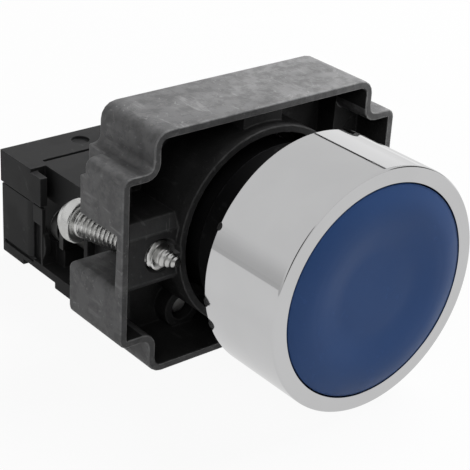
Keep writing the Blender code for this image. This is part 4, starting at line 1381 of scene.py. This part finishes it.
@dataclass
class ButtonHead:
    """Bezel, cap, tube and the moving pieces of the head."""

    opening_radius: float = 0.01263
    seat_bore: float = 0.0113
    seat_depth: float = -0.002
    gasket_bore: float = 0.0139
    gasket_depth: float = -0.0009
    key_angles: tuple[float, ...] = (67.0, 153.0, 189.0, 202.0)
    key_radius: float = 0.0005
    ring_rounding: float = 0.00038
    inner_softness: float = 1 / 4
    rear_softness: float = 1 / 3
    cap_gap: float = 0.00016
    cap_recess: float = 0.00002
    crown_height: float = 0.00065
    crown_radius: float = 0.0094
    dish_depth: float = 0.00055
    dish_floor_radius: float = 0.0046
    hub_radius: float = 0.0052
    hub_length: float = 0.003
    socket_radius: float = 0.0038
    cap_rounding: float = 0.00012
    rubber_rounding: float = 0.0002
    tube_rounding: float = 0.00018
    stem_rounding: float = 0.00015
    pusher_rounding: float = 0.0002
    strip_rounding: float = 0.0001
    spring_wire: float = 0.0009
    spring_radius: float = 0.0067
    spring_turns: float = 6.0
    press_travel: float = 0.0043
    steps: int = 192
    notch_steps: int = 24
    face_steps: int = 16

    def build(self) -> None:
        """Make and dress all pieces of the head."""
        self.make_bezel()
        self.make_cap()
        self.make_return_spring()
        soften("panel_gasket", self.rubber_rounding, SOFT_RUBBER, Body.ROOT)
        soften("head_body", self.tube_rounding, SHADE_DARKENED_MOULDING, Body.ROOT)
        soften("cap_stem", self.stem_rounding, SHADE_DARKENED_MOULDING, Body.BUTTON)
        soften("pusher", self.pusher_rounding, SHADE_DARKENED_MOULDING, Body.BUTTON)
        soften("retaining_ring", self.strip_rounding, SPRING_WIRE, Body.BUTTON)
        dress_node("stem_seal", SOFT_RUBBER)

    def make_bezel(self) -> None:
        """Turn the plated ring and cut the notches for the gasket's keys."""
        low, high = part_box("bezel")
        radius = high.x
        front = low.y
        soft = self.ring_rounding
        corners = [
            (self.opening_radius, self.seat_depth, 0.0),
            (self.opening_radius, front, soft * self.inner_softness),
            (radius, front, soft),
            (radius, high.y, soft * self.rear_softness),
            (self.gasket_bore, high.y, soft * self.rear_softness),
            (self.gasket_bore, self.gasket_depth, 0.0),
            (self.seat_bore, self.gasket_depth, 0.0),
            (self.seat_bore, self.seat_depth, 0.0),
        ]
        piece = lathe("bezel_ring", rounded_profile(corners), self.steps, closed=True)
        inner = self.gasket_bore - soft
        outer = radius + soft
        sides = [(0.0, inner), (self.key_radius, inner), (self.key_radius, outer), (0.0, outer)]
        notches = []
        for angle in self.key_angles:
            notch = lathe("key_notch", sides, self.notch_steps)
            outward = Matrix.Rotation(-math.pi / 2, 4, "Z")
            notch.matrix_world = Matrix.Rotation(-math.radians(angle), 4, "Y") @ outward
            notches.append(notch)
        cut_away(piece, notches)
        install(piece, "bezel", BRIGHT_PLATE, Body.ROOT)

    def make_cap(self) -> None:
        """Turn the cap with its shallow dish, its rim and its hub."""
        _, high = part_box("push_cap")
        radius = self.opening_radius - self.cap_gap
        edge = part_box("bezel")[0].y + self.cap_recess
        back = high.y - self.hub_length
        soft = self.cap_rounding
        rim = rounded_profile(
            [
                (self.crown_radius, edge - self.crown_height, 0.0),
                (radius, edge, soft),
                (radius, back, soft),
                (self.hub_radius, back, 0.0),
                (self.hub_radius, high.y, soft),
                (self.socket_radius, high.y, 0.0),
                (self.socket_radius, back, 0.0),
                (0.0, back, 0.0),
            ]
        )
        piece = lathe("cap_moulding", self.face_profile(radius - soft, edge) + rim[1:], self.steps)
        settle(piece)
        install(piece, "push_cap", BLUE_CAP, Body.BUTTON)

    def face_profile(self, radius: float, edge: float) -> Profile:
        """Profile of the cap's face: a flat dish, a soft rise and a crown that falls to the edge.

        Args:
            radius: Where the crown meets the rounding of the edge.
            edge: Depth of the cap's edge.

        Returns:
            Points of radius and depth from the middle outwards.
        """
        crest = edge - self.crown_height
        points = [(0.0, crest + self.dish_depth)]
        rise = self.crown_radius - self.dish_floor_radius
        for step in range(self.face_steps + 1):
            share = step / self.face_steps
            fall = math.cos(0.5 * math.pi * share) ** 2
            points.append((self.dish_floor_radius + rise * share, crest + self.dish_depth * fall))
        width = radius - self.crown_radius
        for step in range(1, self.face_steps + 1):
            share = step / self.face_steps
            points.append((self.crown_radius + width * share, crest + self.crown_height * share**2))
        return points

    def make_return_spring(self) -> None:
        """Wind the return spring and put it in the place of the CAD spring."""
        low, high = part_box("return_spring")
        spring = Spring(self.spring_wire, self.spring_radius, self.spring_turns, low.y, high.y)
        spring.fit("return_spring", "return_coil", Body.ROOT, "push", self.press_travel, End.BACK)


@dataclass
class ClampBase:
    """Die-cast base with its two tilted clamp screws."""

    rounding: float = 0.00016
    edge_faces: int = 3
    wall: float = 0.0009
    ear_half_height: float = 0.01045
    ear_floor: float = 0.0132
    crown_half_width: float = 0.0159
    channel_half_height: float = 0.0035
    channel_front: float = 0.0088
    collar_step: float = 0.0006
    # Share of the cup's painted darkening that the rim's front faces get
    rim_darkening: float = 0.5
    screw_tilt: float = math.radians(13.0)
    screw_offset: float = 0.01716
    screw_seat: float = 0.01942

    def screw(self) -> Screw:
        """The clamp screw's sizes.

        Returns:
            A pan head screw with a thread that runs onto its point.
        """
        return Screw(
            radius=0.00175,
            length=0.01422,
            head_radius=0.00265,
            head_height=0.00265,
            head_side=0.0013,
            head_flat=0.0016,
            pitch=0.00066,
            thread_depth=0.00038,
            thread_length=0.01405,
            drive=Drive.CROSS,
            point_radius=0.00128,
            tip_radius=0.0006,
            point_length=0.0022,
            recess_width=0.0009,
            recess_depth=0.0013,
        )

    def build(self) -> None:
        """Make and dress the base and its screws."""
        self.mark_inside(soften("mounting_base", self.rounding, ZINC_CASTING, Body.ROOT, self.edge_faces))
        for side in Side:
            piece = self.screw().build("clamp_screw_thread_" + side.word)
            seat = Matrix.Translation((side.value * self.screw_offset, self.screw_seat, 0.0))
            piece.matrix_world = seat @ Matrix.Rotation(-side.value * self.screw_tilt, 4, "Z")
            install(piece, "clamp_screw_" + side.word, ZINC_PLATE, Body.ROOT)

    def mark_inside(self, mesh: bpy.types.Mesh) -> None:
        """Mark the faces that get painted shade inside the cup, and the rim's front faces that get a
        smaller share of the same darkening.

        Args:
            mesh: The base's mesh.
        """
        mask = mesh.attributes.new(CUP_SHADE_AND_RIM_MASK, "FLOAT", "CORNER")
        low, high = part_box("mounting_base")
        rim_front = low.y + self.collar_step
        for face in mesh.polygons:
            value = self.darkening_share(face.center, rim_front, high)
            for loop in face.loop_indices:
                mask.data[loop].value = value

    def darkening_share(self, point: Vector, rim_front: float, high: Vector) -> float:
        """Share of the darkening at a point: full painted shade in the cup, a smaller share on the rim,
        none outside.

        Args:
            point: A point of the casting.
            rim_front: Depth of the rim.
            high: The casting's highest corner.

        Returns:
            A value from 0 to 1.
        """
        across = abs(point.x)
        up = abs(point.z)
        before_ear_floor = point.y < self.ear_floor
        in_ears = across < high.x - self.wall and up < self.ear_half_height - self.wall and before_ear_floor
        in_crown = across < self.crown_half_width - self.wall and up < high.z - self.wall
        in_channel = up < self.channel_half_height and point.y > self.channel_front
        in_cup = (in_ears or in_crown) and not in_channel and point.y < high.y - self.rounding
        if in_cup:
            return 1.0
        return self.rim_darkening if point.y < rim_front + WELD_DISTANCE else 0.0


@dataclass
class ContactBlock:
    """Contact housing, cover, contacts, plunger, springs and terminals."""

    rounding: float = 0.00013
    plunger_rounding: float = 0.00015
    strip_rounding: float = 0.0001
    contact_height: float = -0.0072
    terminal_offset: float = 0.011
    terminal_seat: float = 0.0311
    block_screw_offset: float = 0.0066
    block_screw_height: float = -0.0118
    block_screw_seat: float = 0.0398
    spring_wire: float = 0.0004
    spring_radius: float = 0.0016
    plunger_spring_turns: float = 7.0
    bridge_spring_turns: float = 5.0
    press_travel: float = 0.0043
    bridge_travel: float = 0.0026

    def build(self) -> None:
        """Make and dress all pieces of the contact block."""
        soften("contact_housing", self.rounding, BLOCK_MOULDING, Body.ROOT)
        soften("contact_cover", self.rounding, BLOCK_MOULDING, Body.ROOT)
        soften("contact_plunger", self.plunger_rounding, GREEN_MOULDING, Body.PLUNGER)
        soften("contact_bridge", self.strip_rounding, CONTACT_BRASS, Body.BRIDGE)
        for side in Side:
            soften("fixed_contact_" + side.word, self.strip_rounding, CONTACT_BRASS, Body.ROOT)
            soften("clamp_plate_" + side.word, self.strip_rounding, POCKET_SHADE_STEEL, Body.ROOT)
            self.make_terminal_screw(side)
            self.make_block_screw(side)
        self.make_springs()

    def make_terminal_screw(self, side: Side) -> None:
        """Make one terminal screw, its head towards the back of the block.

        Args:
            side: The terminal's side.
        """
        screw = Screw(
            radius=0.0015,
            length=0.0087,
            head_radius=0.0024,
            head_height=0.0019,
            head_side=0.0014,
            head_flat=0.0019,
            pitch=0.0005,
            thread_depth=0.0003,
            thread_length=0.0082,
            drive=Drive.CROSS,
            point_radius=0.0015,
            tip_radius=0.0012,
        )
        piece = screw.build("terminal_screw_thread_" + side.word)
        piece.location = (side.value * self.terminal_offset, self.terminal_seat, self.contact_height)
        install(piece, "terminal_screw_" + side.word, POCKET_SHADE_STEEL, Body.ROOT)

    def make_block_screw(self, side: Side) -> None:
        """Make one long screw that holds the block on the base.

        Args:
            side: The screw's side.
        """
        low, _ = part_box("block_screw_" + side.word)
        screw = Screw(
            radius=0.00125,
            length=self.block_screw_seat - low.y,
            head_radius=0.002,
            head_height=0.0016,
            head_side=0.0011,
            head_flat=0.0015,
            pitch=0.00045,
            thread_depth=0.00026,
            thread_length=0.007,
            drive=Drive.SLOT,
            point_radius=0.00125,
            tip_radius=0.001,
        )
        piece = screw.build("block_screw_thread_" + side.word)
        across = side.value * self.block_screw_offset
        piece.location = (across, self.block_screw_seat, self.block_screw_height)
        install(piece, "block_screw_" + side.word, ZINC_PLATE, Body.ROOT)

    def make_springs(self) -> None:
        """Wind the plunger's spring and the bridge's spring and put them in place."""
        sliding = self.spring("plunger_spring", self.plunger_spring_turns)
        travel = self.press_travel
        sliding.fit("plunger_spring", "plunger_coil", Body.ROOT, "plunger_slide", travel, End.BACK)
        pressing = self.spring("bridge_spring", self.bridge_spring_turns)
        spare = travel - self.bridge_travel
        pressing.fit("bridge_spring", "bridge_coil", Body.PLUNGER, "bridge_slide", spare, End.FRONT)

    def spring(self, node: str, turns: float) -> Spring:
        """Sizes of one of the block's springs.

        Args:
            node: The CAD node that gives its two ends.
            turns: Number of turns.

        Returns:
            The spring.
        """
        low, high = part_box(node)
        return Spring(self.spring_wire, self.spring_radius, turns, low.y, high.y, self.contact_height)


@dataclass
class PhotoCamera:
    """Camera that stands where the photograph was taken."""

    azimuth: float = math.radians(-40.163)
    elevation: float = math.radians(26.734)
    roll: float = math.radians(3.407)
    offset: Triple = (0.00804, 0.001776, 0.165797)
    focal_pixels: float = 1470.5
    image_pixels: float = 470.0
    sensor: float = 36.0
    nearest: float = 0.005
    farthest: float = 20.0

    def build(self) -> None:
        """Add the camera and make it the scene's camera."""
        back = Vector(
            (
                math.sin(self.azimuth) * math.cos(self.elevation),
                -math.cos(self.azimuth) * math.cos(self.elevation),
                math.sin(self.elevation),
            )
        )
        right = Vector((math.cos(self.azimuth), math.sin(self.azimuth), 0.0))
        up = back.cross(right)
        rolled_right = right * math.cos(self.roll) + up * math.sin(self.roll)
        rolled_up = up * math.cos(self.roll) - right * math.sin(self.roll)
        turn = Matrix((rolled_right, rolled_up, back)).transposed()
        across, down, away = self.offset
        place = turn @ Vector((-across, down, away))
        data = bpy.data.cameras.new("photo_camera")
        data.sensor_width = self.sensor
        data.lens = self.sensor * self.focal_pixels / self.image_pixels
        data.clip_start = self.nearest
        data.clip_end = self.farthest
        camera = bpy.data.objects.new("photo_camera", data)
        camera.matrix_world = Matrix.Translation(place) @ turn.to_4x4()
        bpy.context.scene.collection.objects.link(camera)
        bpy.context.scene.camera = camera


@dataclass
class SoftBox:
    """One soft square lamp that looks at a point of the object."""

    name: str
    place: Triple
    power: float
    size: float = 0.3
    target: Triple = (0.0, 0.012, 0.0)

    def build(self) -> None:
        """Add the lamp."""
        data = bpy.data.lights.new(self.name, "AREA")
        data.shape = "SQUARE"
        data.size = self.size
        data.energy = self.power
        lamp = bpy.data.objects.new(self.name, data)
        lamp.location = self.place
        aim = Vector(self.target) - Vector(self.place)
        lamp.rotation_euler = aim.to_track_quat("-Z", "Y").to_euler()
        lamp.visible_glossy = False
        bpy.context.scene.collection.objects.link(lamp)


@dataclass
class Studio:
    """Pale floor, pale surroundings and soft lamps."""

    floor_reach: float = 3.0
    floor_gap: float = 0.0002
    floor_colour: Colour = (0.5, 0.5, 0.5)
    floor_glow: float = 0.94
    near_floor: float = 0.8
    floor_end: float = 0.29
    floor_fade: float = 1.05
    lit_start: float = 0.5
    lit_end: float = 0.6
    fill_light: float = 0.14
    horizon: float = 0.545
    wall_top: float = 0.76
    wall_height: float = 0.3
    panel_gain: float = 0.36
    panel_fade: float = 0.01
    panel: Cone = ((0.7885, 0.615, 0.0), math.radians(26.3))
    seam_width: float = 0.0055
    seam_fade: float = 1.6
    seam_dark: float = 0.02
    card_dark: float = 0.03
    card_core: float = 0.9
    dark_cards: tuple[Cone, ...] = (
        ((-0.632, -0.678, 0.375), math.radians(22.0)),
        ((0.86, -0.33, 0.39), math.radians(19.0)),
    )

    def build(self) -> None:
        """Add floor, surroundings and lamps, and set the plain view."""
        bpy.context.scene.view_settings.view_transform = "Standard"
        self.make_floor()
        self.make_surroundings()
        for lamp in (
            SoftBox("top_lamp", place=(0.34, 0.06, 0.38), power=4.4),
            SoftBox("right_lamp", place=(0.36, -0.4, 0.1), power=0.8),
            SoftBox("left_lamp", place=(-0.33, -0.35, 0.4), power=0.95),
        ):
            lamp.build()

    def seen_directly(self, sheet: NodeSheet) -> bpy.types.NodeSocket:
        """Where a ray comes from the camera, a mirror or glass.

        Args:
            sheet: Nodes of a material or of the world.

        Returns:
            1 for such rays and 0 for others.
        """
        rays = sheet.node("ShaderNodeLightPath").outputs
        shown = sheet.math("MAXIMUM", rays["Is Camera Ray"], rays["Is Glossy Ray"])
        return sheet.math("MAXIMUM", shown, rays["Is Transmission Ray"])

    def facing(self, sheet: NodeSheet, view: object, direction: Triple) -> bpy.types.NodeSocket:
        """How well a ray points in a direction.

        Args:
            sheet: Nodes of the world.
            view: The ray's direction.
            direction: The direction it is compared with.

        Returns:
            The cosine of the angle between them.
        """
        made = sheet.node("ShaderNodeVectorMath", {"operation": "DOT_PRODUCT"})
        sheet.feed(made.inputs[0], view)
        sheet.feed(made.inputs[1], direction)
        return made.outputs["Value"]

    def make_floor(self) -> None:
        """Lay the pale floor under the object."""
        level = cad_bounds[0].z - self.floor_gap
        reach = self.floor_reach
        sides = ((-reach, -reach), (reach, -reach), (reach, reach), (-reach, reach))
        mesh = bpy.data.meshes.new("floor")
        mesh.from_pydata([(across, along, level) for across, along in sides], [], [(0, 1, 2, 3)])
        floor = new_piece("floor", mesh)
        floor.data.materials.append(self.floor_material())

    def floor_material(self) -> bpy.types.Material:
        """Pale floor that keeps shadows, and that mirrors see dim where it ends.

        Returns:
            The material.
        """
        material = bpy.data.materials.new("pale_floor")
        material.use_nodes = True
        nodes = material.node_tree.nodes
        nodes.remove(nodes["Principled BSDF"])
        sheet = NodeSheet(material.node_tree)
        matt = sheet.node("ShaderNodeBsdfDiffuse", Color=(*self.floor_colour, 1.0))
        place = sheet.place()
        away = sheet.node("ShaderNodeVectorMath", {"operation": "LENGTH"})
        sheet.feed(away.inputs[0], place)
        across = sheet.node("ShaderNodeSeparateXYZ", Vector=place).outputs["X"]
        end = self.floor_end
        faded = self.floor_fade * end
        lit = sheet.remap(across, self.lit_start * end, self.lit_end * end, 0.0, self.panel_gain)
        shade = sheet.remap(away.outputs["Value"], end, faded, self.near_floor, self.horizon)
        mirrored = sheet.math("MINIMUM", sheet.math("ADD", shade, lit), 1.0)
        direct = sheet.node("ShaderNodeLightPath").outputs["Is Camera Ray"]
        strength = sheet.node("ShaderNodeMix", Factor=direct, A=mirrored, B=1.0).outputs[0]
        glow = sheet.node("ShaderNodeEmission", Color=(1.0, 1.0, 1.0, 1.0), Strength=strength)
        both = sheet.node("ShaderNodeMixShader")
        share = sheet.math("MULTIPLY", self.seen_directly(sheet), self.floor_glow)
        for socket, value in zip(both.inputs, (share, matt.outputs[0], glow.outputs[0])):
            sheet.feed(socket, value)
        sheet.feed(nodes["Material Output"].inputs["Surface"], both.outputs[0])
        return material

    def make_surroundings(self) -> None:
        """Light the scene evenly, and show mirrors a pale room that dims at the horizon."""
        world = bpy.data.worlds.new("pale_room")
        world.use_nodes = True
        bpy.context.scene.world = world
        sheet = NodeSheet(world.node_tree)
        view = sheet.node("ShaderNodeTexCoord").outputs["Generated"]
        parts = sheet.node("ShaderNodeSeparateXYZ", Vector=view)
        panel_way, panel_reach = self.panel
        past_seam = sheet.math("SUBTRACT", self.facing(sheet, view, panel_way), math.cos(panel_reach))
        wall = sheet.remap(parts.outputs["Z"], 0.0, self.wall_height, self.horizon, self.wall_top)
        lit = sheet.remap(past_seam, 0.0, self.panel_fade, 0.0, self.panel_gain)
        room = sheet.math("MINIMUM", sheet.math("ADD", wall, lit), 1.0)
        off_seam = sheet.math("ABSOLUTE", past_seam)
        seam_end = self.seam_fade * self.seam_width
        seam = sheet.remap(off_seam, self.seam_width, seam_end, self.seam_dark)
        mirrored = sheet.math("MULTIPLY", room, seam)
        for card_way, reach in self.dark_cards:
            towards = self.facing(sheet, view, card_way)
            core = math.cos(self.card_core * reach)
            card = sheet.remap(towards, math.cos(reach), core, 1.0, self.card_dark)
            mirrored = sheet.math("MULTIPLY", mirrored, card)
        rays = sheet.node("ShaderNodeLightPath").outputs
        seen = sheet.node("ShaderNodeMix", Factor=rays["Is Camera Ray"], A=mirrored, B=1.0).outputs[0]
        strength = sheet.node("ShaderNodeMix", Factor=self.seen_directly(sheet), A=self.fill_light, B=seen)
        background = world.node_tree.nodes["Background"]
        background.inputs["Color"].default_value = (1.0, 1.0, 1.0, 1.0)
        sheet.feed(background.inputs["Strength"], strength.outputs[0])


def main() -> None:
    """Build the camera, the studio and each sub-assembly in order."""
    logging.basicConfig(level=logging.INFO, format="%(message)s")
    for stage in (PhotoCamera(), Studio(), ButtonHead(), ClampBase(), ContactBlock()):
        LOG.info("building %s", type(stage).__name__)
        stage.build()


if __name__ == "__main__":
    main()
